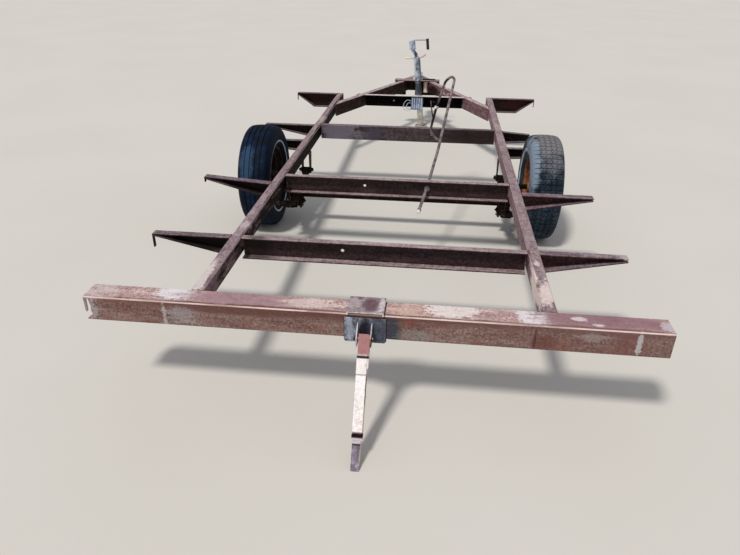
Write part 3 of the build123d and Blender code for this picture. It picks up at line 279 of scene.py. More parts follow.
# the frame's finishes: tones go from the dark to the light of the same paint; rust, flake and edge end with
# their share, and a patch has its centre, its reach, its tint and its strength
paints = {
    "bumperPaint": {
        "sunned": ("#976f6f", "#b79796", "#cbb2ae", "#e6d8d4"),
        "shaded": ("#63443f", "#7e625c", "#927d77", "#aea19b"), "rust": ("#6d3a30", "#99604f", 0.32),
        "flake": ("#ddd2ce", 0.36), "freckle": 0.55, "mottle": 10, "edge": ("#ecd6cf", 0.95), "ragged": 1.25,
        "patches": (
            ((-0.62, bumperRear, 0.395), (0.62, 0.02, 0.08), "#7d5d58", 0.22),
            ((0.75, bumperRear, 0.38), (0.42, 0.02, 0.06), "#6d4a46", 0.3),
            ((-1.02, -2.235, 0.455), (0.07, 0.07, 0.03), "#d8cacc", 0.6),
            ((-0.73, -2.225, 0.455), (0.08, 0.055, 0.03), "#efedf3", 0.85),
            ((-0.48, -2.235, 0.455), (0.23, 0.06, 0.02), "#a18088", 0.75),
            ((-0.19, -2.24, 0.455), (0.13, 0.035, 0.02), "#e9dad3", 0.6),
            ((0.15, -2.25, 0.455), (0.1, 0.06, 0.02), "#dcbcae", 0.6),
            ((0.31, -2.235, 0.455), (0.11, 0.055, 0.02), "#f3eae8", 0.75),
            ((0.59, -2.24, 0.455), (0.07, 0.075, 0.03), "#f2eef2", 0.85),
            ((0.84, -2.235, 0.455), (0.27, 0.08, 0.02), "#93707a", 0.85),
            ((0.815, -2.262, 0.455), (0.034, 0.014, 0.02), "#eadfe1", 0.9),
            ((0.75, -2.228, 0.455), (0.03, 0.014, 0.02), "#e4d5d6", 0.85),
            ((1.055, -2.245, 0.455), (0.028, 0.05, 0.02), "#cfc2cc", 0.8),
            ((-0.26, bumperRear, 0.45), (0.8, 0.02, 0.034), "#67443f", 0.85),
            ((0.7, bumperRear, 0.45), (0.5, 0.02, 0.024), "#6f504d", 0.7),
            ((-1.045, bumperRear, 0.4), (0.034, 0.02, 0.06), "#b8b3b8", 0.5),
            ((-0.757, bumperRear, 0.4), (0.01, 0.02, 0.07), "#bdbaba", 0.7),
            ((-0.7, bumperRear, 0.408), (0.07, 0.02, 0.04), "#a5a5aa", 0.48),
            # the stand's painted shadow on the face right of its bracket
            ((0.092, bumperRear, 0.4), (0.046, 0.02, 0.06), "#3c434e", 0.95),
            ((0.18, bumperRear, 0.385), (0.08, 0.02, 0.034), "#8f9390", 0.42),
            ((0.161, bumperRear, 0.433), (0.034, 0.02, 0.013), "#8a4a38", 0.6),
            ((0.63, bumperRear, 0.39), (0.05, 0.02, 0.034), "#6c413c", 0.7),
            ((0.8, bumperRear, 0.417), (0.07, 0.02, 0.02), "#b9b2b2", 0.32),
            ((0.598, bumperRear, 0.405), (0.006, 0.02, 0.06), "#4a3232", 0.75),
            ((0.925, bumperRear, 0.395), (0.06, 0.02, 0.04), "#7a4f49", 0.5),
            ((0.954, bumperRear, 0.402), (0.01, 0.02, 0.055), "#c8cacc", 0.7),
        ),
    },
    "railPaint": {
        "sunned": ("#786369", "#907d84", "#a08e93", "#b9a6a8"),
        "shaded": ("#69505a", "#826a71", "#927c83", "#ab9798"), "rust": ("#5a3a33", "#85584a", 0.2), "grain": alongY,
        "flake": ("#e2d4d2", 0.22), "freckle": 0.22, "specular": 0.03, "edge": ("#b9a2a4", 0.65),
        "patches": (
            ((-0.672, -2.09, 0.455), (0.032, 0.15, 0.03), "#e0d4d2", 0.85),
            ((0.66, -2.06, 0.455), (0.05, 0.12, 0.03), "#ead9d4", 0.85),
            # painted shade over the left rail's inner face
            ((-0.635, 0.15, 0.395), (0.016, 2.5, 0.11), "#130d0a", 1.0),
            ((0.634, -1.96, 0.425), (0.018, 0.19, 0.06), "#eddcd6", 0.95),
            ((-0.66, -1.56, 0.455), (0.03, 0.06, 0.03), "#cbbcbf", 0.75),
            ((0.662, -1.8, 0.455), (0.016, 0.035, 0.03), "#e3cfca", 0.85),
            ((0.664, 0.45, 0.455), (0.03, 0.12, 0.03), "#b3a09e", 0.7),
            ((-0.655, 0.45, 0.455), (0.03, 0.12, 0.03), "#b7a8a5", 0.7),
            ((0.635, -1.72, 0.42), (0.014, 0.06, 0.05), "#4e383c", 0.8),
        ),
    },
    "memberPaint": {
        # the webs' dark shaded tones: partly dark paint, partly painted shade under the top flanges
        "sunned": ("#7a6468", "#9a8488", "#ad9a9c", "#c2b2b2"),
        "shaded": ("#291c1e", "#36282b", "#403235", "#4d3f40"), "rust": ("#2f201d", "#46302a", 0.22),
        "flake": ("#8d7f80", 0.05), "freckle": 0.25, "edge": ("#a89296", 0.55),
        "patches": (
            # the second crossmember's web darker towards its right end, then painted shadows of the left rail on the
            # left ends of the second and the first web
            ((0.5, -0.977, 0.395), (0.4, 0.03, 0.08), "#181414", 0.75),
            ((-0.52, -0.977, 0.395), (0.12, 0.03, 0.08), "#1a1312", 0.7),
            ((-0.56, -1.697, 0.395), (0.09, 0.03, 0.08), "#1a1312", 0.7),
        ),
    },
    "farMemberPaint": {
        "like": "memberPaint", "sunned": ("#54484f", "#6d6069", "#84777f", "#9d9094"),
        "shaded": ("#352c2d", "#453a3c", "#534749", "#655a5c"), "edge": ("#a89296", 0.3),
        "patches": (
            ((-0.52, 0.3077, 0.405), (0.25, 0.02, 0.075), "#77707d", 0.85),
            ((-0.24, 0.3077, 0.405), (0.1, 0.02, 0.075), "#4c4654", 0.7),
            ((0.5, 0.3077, 0.405), (0.3, 0.02, 0.075), "#251d1c", 0.8),
        ),
    },
    # the header: its near-black shaded tones are painted shade under its top flange
    "headerPaint": {
        "sunned": ("#b9a6a6", "#d2c3c0", "#e2d6d2", "#efe7e4"),
        "shaded": ("#040303", "#080605", "#0d0a08", "#17120f"), "rust": ("#0c0806", "#1a110d", 0.2),
        "flake": ("#6d6262", 0.05), "freckle": 0.2, "specular": 0.03, "edge": ("#b9a3a7", 0.6),
    },
    # outriggers, wheel brackets and hangers: the dark shaded tones are partly dark paint and partly painted shade under
    # the flanges
    "shadeOutriggerPaint": {
        "sunned": ("#57464c", "#73626a", "#887880", "#a29399"),
        "shaded": ("#150f0f", "#201717", "#2b2120", "#3c3130"), "rust": ("#2a1a17", "#4a3028", 0.28),
        "flake": ("#9c8f90", 0.08), "freckle": 0.3, "edge": ("#a08c90", 0.6),
        "patches": (
            # painted shade over the two left rear outriggers
            ((-0.86, -1.7, 0.4), (0.24, 0.04, 0.048), "#1a1110", 0.95),
            ((-0.86, -0.98, 0.408), (0.24, 0.04, 0.052), "#1a1110", 0.95),
            ((0.93, 1.42, 0.4), (0.16, 0.06, 0.06), "#43231a", 0.7),
            ((-0.93, 1.42, 0.4), (0.16, 0.06, 0.06), "#38190f", 0.6),
        ),
    },
    # the two right rear outriggers: a lit copy of the same paint, paler on the webs as painted sunlight
    "litOutriggerPaint": {
        "like": "shadeOutriggerPaint", "sunned": ("#5e4c52", "#7a686f", "#8f7f86", "#a9999f"),
        "shaded": ("#2c1d1f", "#41292c", "#50383b", "#66504f"), "rust": ("#2a1a17", "#4a3028", 0.26), "freckle": 0.25,
        "patches": (
            ((1.045, -1.697, 0.452), (0.04, 0.04, 0.02), "#c9bbbb", 0.7),
        ),
    },
    # the web under the tongue's plate: its near-black shaded tones are painted shade
    "platePaint": {
        "sunned": ("#6b5a5b", "#8d7b7a", "#a39391", "#bfb2ae"),
        "shaded": ("#100b09", "#1a120f", "#261a16", "#3a2922"), "rust": ("#2a160f", "#4a291c", 0.3),
        "flake": ("#9c8f8a", 0.08), "freckle": 0.25, "edge": ("#b5a59f", 0.8),
    },
    # the left tongue beam, dark on all but its top: painted shade; tonguePaint below is its lit copy for the right beam
    # and the coupler
    "shadeTonguePaint": {
        "sunned": ("#8d7377", "#ad9599", "#c0abad", "#d6c8c8"),
        "shaded": ("#170e0c", "#241815", "#332622", "#4d3f3b"), "rust": ("#24120d", "#43241a", 0.28), "grain": alongY,
        "flake": ("#a89b98", 0.14), "freckle": 0.35, "edge": ("#c6adae", 0.7),
    },
    "tonguePaint": {
        "like": "shadeTonguePaint", "shaded": ("#4f3a3e", "#6d5156", "#7f6468", "#977e80"),
        "rust": ("#4b2c27", "#714a3d", 0.28), "flake": ("#dcd0cf", 0.18),
        "patches": (
            # painted shade on the right beam's inner face by the plate
            ((0.17, 2.02, 0.385), (0.12, 0.22, 0.062), "#190d0a", 0.97),
            ((0.33, 1.8, 0.425), (0.07, 0.15, 0.04), "#ecd5ce", 0.75),
        ),
    },
    # the stand's sleeve: its near-white sunned tones are pale paint brightened as painted sunlight, and its dark shaded
    # tones on the sides are painted shade
    "standPaint": {
        "sunned": ("#eee2e2", "#f8f1f0", "#fdf9f9", "#ffffff"), "sunnedAt": (0.3, 0.44, 0.56, 0.72),
        "shaded": ("#4e3830", "#6d534a", "#8c7268", "#b39c90"), "rust": ("#84706c", "#a8928d", 0.08), "grain": alongZ,
        "ragged": 0.25, "ownFrame": standFrame, "flake": ("#f6f2ef", 0.3), "freckle": 0.7, "sunFrom": 0.2,
        "edge": ("#ead9d4", 0.0),
        "patches": (
            ((0.0, 0.0, -0.01), (0.07, 0.07, 0.075), "#a4686b", 0.92),
            ((0.0, 0.0, -0.097), (0.07, 0.07, 0.044), "#faf3f2", 0.9),
            ((0.0, 0.0, -0.0655), (0.06, 0.06, 0.007), "#26181a", 0.97),
            ((0.0, 0.0, -0.1275), (0.06, 0.06, 0.0034), "#a98f8e", 0.8),
            ((0.02, 0.0, -0.29), (0.006, 0.04, 0.075), "#ead9c2", 0.95),
            ((0.0, 0.0, -0.329), (0.06, 0.06, 0.004), "#9c6a6e", 0.8),
        ),
    },
    "standLegPaint": {
        "sunned": ("#5d5666", "#7d7586", "#978f9e", "#bab2bd"),
        "shaded": ("#4d4550", "#6b626e", "#857c88", "#aca4ac"), "rust": ("#6a463c", "#9a7262", 0.16), "grain": alongZ,
        "ragged": 0.25, "ownFrame": standFrame, "flake": ("#ddd3d3", 0.26), "freckle": 0.45, "sunFrom": 0.2,
        "edge": ("#eadfd4", 0.0),
        "patches": (
            ((0.0, 0.0, -0.357), (0.06, 0.06, 0.016), "#d9cdd3", 0.9),
            # painted shade in the gap between the sleeve's end and the collar
            ((0.0, 0.0, -0.34), (0.06, 0.06, 0.0105), "#1a0f12", 1.0),
            ((0.0, 0.0, -0.371), (0.06, 0.06, 0.0045), "#2e2428", 0.9),
            ((0.018, 0.0, -0.4), (0.007, 0.04, 0.06), "#ddd0b9", 0.9),
        ),
    },
    "bracketPaint": {
        "sunned": ("#565058", "#85797f", "#b0a5a8", "#e0d6d6"),
        "shaded": ("#4a4d5b", "#6d7080", "#8f93a2", "#bcc0cb"), "rust": ("#3a2f33", "#64504f", 0.26), "grain": alongZ,
        "flake": ("#d7dae3", 0.34), "freckle": 0.45, "edge": ("#d9d5da", 0.8),
        "patches": (
            # painted shade between the ears, then the stand's painted shadow over the plate's right half
            ((-0.004, -2.298, 0.395), (0.024, 0.012, 0.06), "#1d1f2b", 0.95),
            ((0.045, -2.298, 0.39), (0.045, 0.014, 0.08), "#3d4252", 0.8),
            ((-0.06, -2.298, 0.4), (0.02, 0.012, 0.06), "#a9b0c0", 0.75),
            ((0.022, -2.34, 0.385), (0.008, 0.04, 0.07), "#8a6751", 0.85),
            ((-0.03, -2.34, 0.385), (0.008, 0.04, 0.07), "#d9d4d6", 0.85),
        ),
    },
    "capPaint": {
        "sunned": ("#6f5c62", "#94828a", "#b3a6aa", "#ddd4d6"),
        "shaded": ("#b39f9d", "#d2c2c0", "#e4d9d6", "#f0eae8"), "rust": ("#54373a", "#7d5a5a", 0.24),
        "flake": ("#e4dfe1", 0.3), "freckle": 0.45, "edge": ("#ece2e0", 0.95),
        "patches": (
            ((-0.052, -2.24, 0.466), (0.03, 0.07, 0.03), "#b3a6a8", 0.75),
            ((0.01, -2.24, 0.469), (0.034, 0.06, 0.03), "#6b4e58", 0.9),
            ((0.052, -2.24, 0.466), (0.012, 0.07, 0.03), "#d2c9cc", 0.8),
        ),
    },
    "wheelPaint": {
        "sunned": ("#6e3f28", "#9a6240", "#b6835c", "#cfab88"),
        "shaded": ("#5c3120", "#8a5132", "#a9714a", "#c59a75"), "rust": ("#41210f", "#7d4426", 0.5), "grain": alongZ,
        "flake": ("#cbb7a4", 0.18), "freckle": 0.6, "edge": ("#b98562", 0.5),
    },
    # the left wheel: the right wheel's rusty paint darkened as painted shade
    "shadeWheelPaint": {
        "sunned": ("#2a211d", "#3d302a", "#54443b", "#766459"),
        "shaded": ("#1b1512", "#2a211d", "#3c302a", "#5a4a40"), "rust": ("#2a1710", "#4e2f20", 0.3), "grain": alongZ,
        "flake": ("#8a7c70", 0.1), "freckle": 0.45, "edge": ("#7a665a", 0.5),
    },
}
finish = {name: rustedPaint(name, look) for name, look in paints.items()}


def bareRust(name, look):
    # hot-rolled steel left bare outdoors: dark brown scale with orange bloom, dead matt and pitted
    look = {"steps": (0.45, 0.62, 0.75, 0.9), "patches": (), **look}
    material, add, place, normal = startMaterial(name)
    bloom = add("TexNoise", {"Vector": place},
                {"Scale": 1 / 0.045, "Detail": 6.0, "Roughness": 0.65})  # bloom of 45 mm
    pits = add("TexNoise", {"Vector": place}, {"Scale": 1 / 0.005, "Detail": 3.0})  # pits of 5 mm, coarse
    blended = add("Math", {0: pits, 2: bloom}, {1: 0.35}, operation="MULTIPLY_ADD")
    rusty = add("ValToRGB", {0: blended}, stops=(look["steps"], look["tones"]))
    rim = add("Math", {0: bloom}, {1: 0.5}, operation="ADD")
    colour = spread(add, place, rim, rusty, look["patches"])
    rough = add("MapRange", {"Value": pits}, {"To Min": 0.95, "To Max": 0.75})
    endMaterial(add, colour, rough, pits, look["pitDepth"], specular=0.1)
    return material


rusts = {
    # the springs, shackles, clips and axle: dark rust darkened further as painted shade
    "springShadeRust": {"tones": ("#080504", "#120c0a", "#211713", "#3c2a21"), "pitDepth": 0.0008},
    "pipeRust": {
        "tones": ("#42363a", "#64575b", "#84777b", "#a3979b"), "steps": (0.45, 0.6, 0.72, 0.9), "pitDepth": 0.0004,
        "patches": (
            ((0.196, 0.209, 0.56), (0.04, 0.03, 0.23), "#241917", 0.95),
            ((0.252, 0.222, 0.81), (0.045, 0.03, 0.03), "#2b1f1d", 0.9),
            ((0.133, -1.034, 0.331), (0.04, 0.034, 0.036), "#eceeec", 1.0),
        ),
    },
    "boltRust": {"tones": ("#120c0b", "#241a17", "#43332e", "#6b5850"), "pitDepth": 0.0004},
    "weldRust": {"tones": ("#4a2f2c", "#6b4a45", "#8a6a64", "#a98e88"), "pitDepth": 0.0004},
    # the pipe stub under the plate: rust-pink paint whose cream tones are a painted sun highlight
    "litStubRust": {
        "tones": ("#b58a77", "#dcbcaa", "#efdccf", "#f8efe8"), "steps": (0.45, 0.6, 0.75, 0.9), "pitDepth": 0.0003,
    },
    "darkBar": {"tones": ("#171412", "#26211e", "#3b3430", "#575049"), "pitDepth": 0.0003},
    "shadeWeldRust": {"tones": ("#1f1512", "#33231e", "#4a352e", "#6a5048"), "pitDepth": 0.0004},
}
finish.update((name, bareRust(name, look)) for name, look in rusts.items())


def hotDipZinc(name, look):
    # hot-dip galvanised steel: faintly spangled grey with a blue cast, paler where it faces left and
    # darker where it faces right as painted light and shade, dulled by white bloom
    look = {"steps": (0.22, 0.4, 0.55, 0.72), "patches": (), "metallic": 0.0, **look}
    material, add, place, normal = startMaterial(name)
    spangle = add("TexVoronoi", {"Vector": place}, {"Scale": 1 / 0.014})  # spangles of 14 mm
    wear = add("TexNoise", {"Vector": place}, {"Scale": 1 / 0.05, "Detail": 5.0, "Roughness": 0.6})
    right = add("SeparateXYZ", {0: normal}).outputs[0]
    tone = add("Math", {0: spangle.outputs["Color"], 2: wear}, {1: 0.07}, operation="MULTIPLY_ADD")
    # painted light and shade: paler where the face turns to the key on the left, darker to the right
    tone = add("Math", {0: right, 2: tone}, {1: -look["paintedSideShade"]}, operation="MULTIPLY_ADD")
    zinc = add("ValToRGB", {0: tone}, stops=(look["steps"], look["tones"]))
    rim = add("Math", {0: wear}, {1: 0.5}, operation="ADD")
    colour = spread(add, place, rim, zinc, look["patches"])
    rough = add("MapRange", {"Value": wear}, {"From Min": 0.3, "From Max": 0.8, "To Min": 0.32, "To Max": 0.6})
    endMaterial(add, colour, rough, wear, 0.0002, metallic=look["metallic"])
    return material


zincs = {
    "jackZinc": {
        "tones": ("#39414f", "#66717f", "#b4c1d2", "#e6eef8"), "metallic": 0.5, "paintedSideShade": 0.22,
        "patches": (
            ((-0.12, 2.1307, 0.666), (0.058, 0.03, 0.03), "#e9dcc9", 0.95),
            ((0.066, 2.1307, 0.69), (0.052, 0.03, 0.04), "#e6c5bd", 0.95),
            # painted shade on the tube under the plate
            ((0.02, 2.1307, 0.375), (0.12, 0.09, 0.084), "#3b434d", 0.92),
            ((-0.04, 2.1537, 0.464), (0.022, 0.03, 0.01), "#ece5d6", 0.9),
            ((0.048, 2.1537, 0.464), (0.022, 0.03, 0.01), "#f2efe9", 0.9),
        ),
    },
    "crankZinc": {
        "tones": ("#3c465a", "#73829b", "#b3c3da", "#e3ecf7"), "metallic": 0.45, "paintedSideShade": 0.14,
        "patches": (
            ((-0.024, 2.1307, 0.705), (0.022, 0.04, 0.052), "#3a4457", 0.92),
            ((-0.062, 2.1307, 0.77), (0.016, 0.04, 0.05), "#8c9dbb", 0.75),
            ((0.02, 2.1307, 0.833), (0.075, 0.02, 0.02), "#aaa59b", 0.9),
        ),
    },
    "legZinc": {
        "tones": ("#8a857c", "#a8a399", "#bdb8ae", "#cfcbc3"), "steps": (0.3, 0.48, 0.62, 0.8), "paintedSideShade": 0.05,
    },
    "paleBox": {
        "tones": ("#3f4d66", "#5d6d8a", "#7c8ca8", "#b4c1d4"), "steps": (0.3, 0.46, 0.6, 0.76), "paintedSideShade": 0.08,
        "patches": (
            ((0.038, 1.39, 0.372), (0.024, 0.04, 0.026), "#aab9d6", 0.85),
            ((-0.015, 1.39, 0.4), (0.01, 0.04, 0.07), "#33405a", 0.85),
        ),
    },
    "boxRibZinc": {"tones": ("#8f9fb9", "#a9b8cf", "#c3d0e2", "#dde6f1"), "paintedSideShade": 0.2},
    "barSleeve": {
        "tones": ("#d2c0a9", "#e2d3be", "#eee2d0", "#f7efe2"), "paintedSideShade": 0.05,
        "patches": (
            ((0.06, 2.1307, 0.69), (0.07, 0.04, 0.06), "#dfb3aa", 0.9),
        ),
    },
    "brightZinc": {"tones": ("#8f959d", "#b5bac0", "#d5d9dd", "#f0f2f4"), "metallic": 0.3, "paintedSideShade": 0.05},
}
finish.update((name, hotDipZinc(name, look)) for name, look in zincs.items())


def oldRubber(name, look):
    # carbon-black tyre rubber, moulded, weathered: dust lies on it and grey bloom spreads over it; on the tyres a
    # painted sky reflection, painted highlight and painted shade lie on it too
    look = {"steps": (0.5, 0.7, 0.85, 1.0), "patches": (), "specular": 0.3, "sheen": 0.5, **look}
    material, add, place, normal = startMaterial(name)
    cloud = add("TexNoise", {"Vector": place},
                {"Scale": 1 / 0.06, "Detail": 6.0, "Roughness": 0.7})  # dust in clouds of 60 mm
    specks = add("TexNoise", {"Vector": place}, {"Scale": 1 / 0.006, "Detail": 3.0})
    tone = add("Math", {0: specks, 2: cloud}, {1: 0.4}, operation="MULTIPLY_ADD")
    rubber = add("ValToRGB", {0: tone}, stops=(look["steps"], look["tones"]))
    rim = add("Math", {0: cloud}, {1: 1.6, 2: 0.2}, operation="MULTIPLY_ADD")
    colour = spread(add, place, rim, rubber, look["patches"])
    rough = add("MapRange", {"Value": cloud}, {"To Min": look["sheen"], "To Max": 0.9})
    endMaterial(add, colour, rough, specks, 0.0004, specular=look["specular"])
    return material


rubbers = {
    "blackRubber": {
        # the left tyre: black rubber, its blue cast a painted sky reflection
        "tones": ("#03060c", "#08172a", "#102844", "#224264"), "specular": 0.12,
        "patches": (
            # a painted highlight on the tread's top, then painted shade over the inboard sidewall
            ((-0.9, -0.7, 0.45), (0.055, 0.13, 0.13), "#3b5676", 0.6),
            ((-0.78, -0.466, 0.317), (0.02, 0.4, 0.4), "#04060a", 0.6),
        ),
    },
    "dustyRubber": {
        # the right tyre, dusty on its top; the blue cast in its tones is a painted sky reflection
        "tones": ("#0d1620", "#1e2b38", "#3b4955", "#737e89"), "steps": (0.5, 0.68, 0.85, 1.0), "sheen": 0.6,
        "specular": 0.2,
        "patches": (
            ((0.89, -0.52, 0.66), (0.12, 0.26, 0.15), "#908a86", 0.62),
            ((0.88, -0.56, 0.56), (0.1, 0.26, 0.17), "#7b7d84", 0.5),
            ((0.78, -0.6, 0.5), (0.045, 0.3, 0.2), "#8a9aac", 0.8),
        ),
    },
    "whiteBand": {
        "tones": ("#7d858f", "#b4bfcc", "#d5dde6", "#ebf0f5"), "steps": (0.5, 0.68, 0.85, 1.0), "sheen": 0.6,
    },
    "gripRubber": {"tones": ("#1a1b1f", "#2b2d33", "#43474f", "#5c616a")},
    "cableSheath": {"tones": ("#8c9fb2", "#b5c6d6", "#d3dfe9", "#e9f0f5")},
}
finish.update((name, oldRubber(name, look)) for name, look in rubbers.items())
print("materials made,", len(finish))

# which finish a node of the frame takes: that of the first start of a name that fits
nodeFinish = (
    ("rear_bumper", "bumperPaint"), ("crossmember_3", "farMemberPaint"), ("crossmember", "memberPaint"),
    ("front_header", "headerPaint"), ("outrigger_right_1", "litOutriggerPaint"),
    ("outrigger_right_2", "litOutriggerPaint"), ("outrigger", "shadeOutriggerPaint"), ("wheel_bracket", "shadeOutriggerPaint"),
    ("hangers", "shadeOutriggerPaint"), ("tongue_left", "shadeTonguePaint"), ("tongue_right", "tonguePaint"),
    ("tongue_crossmember", "platePaint"), ("coupler_latch", "boltRust"), ("coupler", "tonguePaint"),
    ("jack_tube", "jackZinc"), ("jack_leg", "legZinc"), ("jack_crank", "crankZinc"), ("junction_box", "paleBox"),
    ("bent_pipe", "pipeRust"), ("axle", "springShadeRust"), ("spring", "springShadeRust"), ("shackle", "springShadeRust"),
    ("wheel_left", "shadeWheelPaint"), ("wheel_right", "wheelPaint"), ("tyre_left", "blackRubber"),
    ("tyre_right", "dustyRubber"), ("stand_bracket", "bracketPaint"), ("stand_cap", "capPaint"),
    ("stand_sleeve", "standPaint"), ("stand_leg", "standLegPaint"), ("", "railPaint"),
)
for name, obj in nodes.items():
    chosen = next(paint for start, paint in nodeFinish if name.startswith(start))
    for holder in obj.material_slots:
        holder.material = finish[chosen]
print("frame dressed")


def boxMiddle(name):
    # the middle of a node's box
    return [(low + high) / 2 for low, high in zip(*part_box(name))]


def addPiece(name, shape, body, slotName, *finishes, smoothUnder=35.0):
    # a shape, its faces turned outward, becomes a piece that rides on a body and takes the finishes it is given
    bmesh.ops.recalc_face_normals(shape, faces=shape.faces)
    mesh = bpy.data.meshes.new(name)
    shape.to_mesh(mesh)
    shape.free()
    for material in finishes:
        mesh.materials.append(finish[material])
    mesh.polygons.foreach_set("use_smooth", [True] * len(mesh.polygons))
    mesh.set_sharp_from_angle(angle=math.radians(smoothUnder))
    piece = addObject(name, mesh)
    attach(piece, body)
    return piece


# tyres: ribs and straight grooves on the left, blocks with slits between zigzag grooves on the right
tyreLook = {
    "left": {"finish": "blackRubber", "slotName": "rubber_black", "band": 0.0115, "pitches": 60, "zigzag": 0.0,
             "slitDepth": 0.0005, "shoulderSlit": 0.001},
    "right": {"finish": "dustyRubber", "slotName": "rubber_dusty", "band": 0.0215, "pitches": 64, "zigzag": 0.003,
              "slitDepth": 0.005, "shoulderSlit": 0.006},
}
treadPlan = {
    "halfWidth": 0.0735,
    "crownDrop": 0.0065,
    "shoulderFrom": 0.058,
    "shoulderDrop": 0.001,
    "grooveMiddles": (-0.046, -0.0155, 0.0155, 0.046),
    "grooveHalf": 0.003,
    "grooveDepth": 0.0065,
    "bandLow": 0.2155,
    "bandFrom": 0.089,
    "inset": 0.0002,
    "margin": 0.004,
}
# sidewall from the bead to the tread's edge: distance out from the middle plane, radius
sidewall = (
    (0.066, 0.1785), (0.0662, 0.19), (0.069, 0.1945), (0.076, 0.197), (0.0825, 0.202), (0.0868, 0.209),
    (0.0895, 0.215), (0.0905, 0.2157), (0.093, 0.2265), (0.0932, 0.2275), (0.095, 0.2363), (0.0968, 0.248),
    (0.0972, 0.258), (0.0966, 0.26), (0.0972, 0.262), (0.0955, 0.274), (0.0922, 0.286), (0.0868, 0.2965),
    (0.08, 0.3045),
)
innerWall = ((0.05, 0.1785), (0.069, 0.199), (0.088, 0.248), (0.07, 0.295), (0.0, 0.306))
# each pitch has six rings, down into the slit and out of it, with the zigzag's turn in the middle: the share
# of the pitch, whether it is in the slit, and the side that the grooves lean to
pitchRings = (
    (0.0, True, 1), (0.1, True, 1), (0.12, False, 1), (0.48, False, 1), (0.52, False, -1), (0.98, False, -1),
)


def treadRow(plan, radius):
    # the tread across, left to right: place, radius, groove number or None, and whether it is a groove's floor
    def crown(out):
        return radius - plan["crownDrop"] * (out / plan["halfWidth"]) ** 2

    edge, shoulder, middles = plan["halfWidth"], plan["shoulderFrom"], plan["grooveMiddles"]
    row = [(-edge, crown(edge) - plan["shoulderDrop"], None, False), (-shoulder, crown(shoulder), None, False)]
    for number, middle in enumerate(middles):
        row += [(middle + plan["grooveHalf"] * share, crown(middle) - plan["grooveDepth"] * deep, number, deep)
                for share, deep in ((-1, False), (-0.6, True), (0.6, True), (1, False))]
        if number < len(middles) - 1:
            between = (middle + middles[number + 1]) / 2
            row.append((between, crown(between), None, False))
    return row + [(shoulder, crown(shoulder), None, False), (edge, crown(edge) - plan["shoulderDrop"], None, False)]


for side, sign in bothSides:
    look, plan, node = tyreLook[side], treadPlan, "tyre_" + side
    middle = boxMiddle(node)
    radius = (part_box(node)[1][2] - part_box(node)[0][2]) / 2 - plan["inset"]
    row = [(-out, r, None, False) for out, r in sidewall] + treadRow(plan, radius)
    row += [(out, r, None, False) for out, r in (*reversed(sidewall), *innerWall)]
    row += [(-out, r, None, False) for out, r in reversed(innerWall[:-1])]
    treadFrom = radius - plan["crownDrop"] - plan["grooveDepth"] - plan["margin"]
    shape = bmesh.new()
    rings = []
    for pitchNumber in range(look["pitches"]):
        for part, slit, lean in pitchRings:
            angle = 2 * math.pi * (pitchNumber + part) / look["pitches"]
            rings.append([])
            for out, r, groove, deep in row:
                onTread = r > treadFrom and abs(out) <= plan["halfWidth"]
                if groove is not None:
                    out += lean * look["zigzag"] * (1 if groove % 2 else -1)
                if onTread and slit and not deep:
                    r -= look["shoulderSlit"] if abs(out) >= plan["shoulderFrom"] - 0.001 else look["slitDepth"]
                rings[-1].append(shape.verts.new((middle[0] + sign * out, middle[1] + r * math.cos(angle),
                                                  middle[2] + r * math.sin(angle))))
    # the white band lies on the inboard sidewall, as the photo shows that side
    banded = [point[0] < -plan["bandFrom"] and 0 <= point[1] - plan["bandLow"] <= look["band"] for point in row]
    for ring, following in zip(rings, rings[1:] + rings[:1]):
        for point in range(len(row)):
            after = (point + 1) % len(row)
            face = shape.faces.new((ring[point], ring[after], following[after], following[point]))
            face.material_index = int(banded[point] and banded[after])
    tyre = addPiece("tyre_tread_" + side, shape, "wheel_" + side, look["slotName"], look["finish"], "whiteBand",
                    smoothUnder=30.0)
    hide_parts(node)
print("tyres moulded")


def crossAxes(axis):
    # a direction of length one and two more square to it
    axis = Vector(axis).normalized()
    one = axis.orthogonal().normalized()
    return axis, one, axis.cross(one)


def circle(shape, centre, one, two, radius, sides, start=0.0):
    # points round a centre
    angles = [start + 2 * math.pi * step / sides for step in range(sides)]
    return [shape.verts.new(centre + (one * math.cos(angle) + two * math.sin(angle)) * radius) for angle in angles]


def skin(shape, rows, ends=True):
    # faces from each circle to the next, with flat ends, or back to the first circle
    for below, above in zip(rows, rows[1:] if ends else rows[1:] + rows[:1]):
        for step in range(len(below)):
            after = (step + 1) % len(below)
            shape.faces.new((below[step], below[after], above[after], above[step]))
    if ends:
        shape.faces.new(list(reversed(rows[0])))
        shape.faces.new(rows[-1])


def turned(shape, centre, axis, rings, sides, start=0.0, ends=True):
    # rings of radius and height along an axis: round with many sides, a nut with six; without ends the
    # rings are a closed profile, such as that of a sleeve or a grommet
    axis, one, two = crossAxes(axis)
    skin(shape, [circle(shape, Vector(centre) + axis * along, one, two, radius, sides, start)
                 for radius, along in rings], ends)


def addNut(shape, centre, axis, across, washer=True, thread=0.0, start=0.0):
    # a hexagon nut or bolt head, its corners rounded off on top, on a washer, with the thread that passes it
    corner, tall, base = across / math.sqrt(3), across * 0.62, 0.0022 if washer else 0.0
    if washer:
        turned(shape, centre, axis, ((across * 0.98, 0.0), (across, 0.0004), (across, 0.0018),
                                     (across * 0.97, base)), 20)
    turned(shape, centre, axis, ((corner * 0.97, base), (corner, base + 0.0006), (corner, base + tall * 0.78),
                                 (corner * 0.86, base + tall)), 6, start)
    if thread:
        turned(shape, centre, axis, ((across * 0.29, base + tall * 0.9), (across * 0.29, base + tall + thread * 0.8),
                                     (across * 0.24, base + tall + thread)), 14)


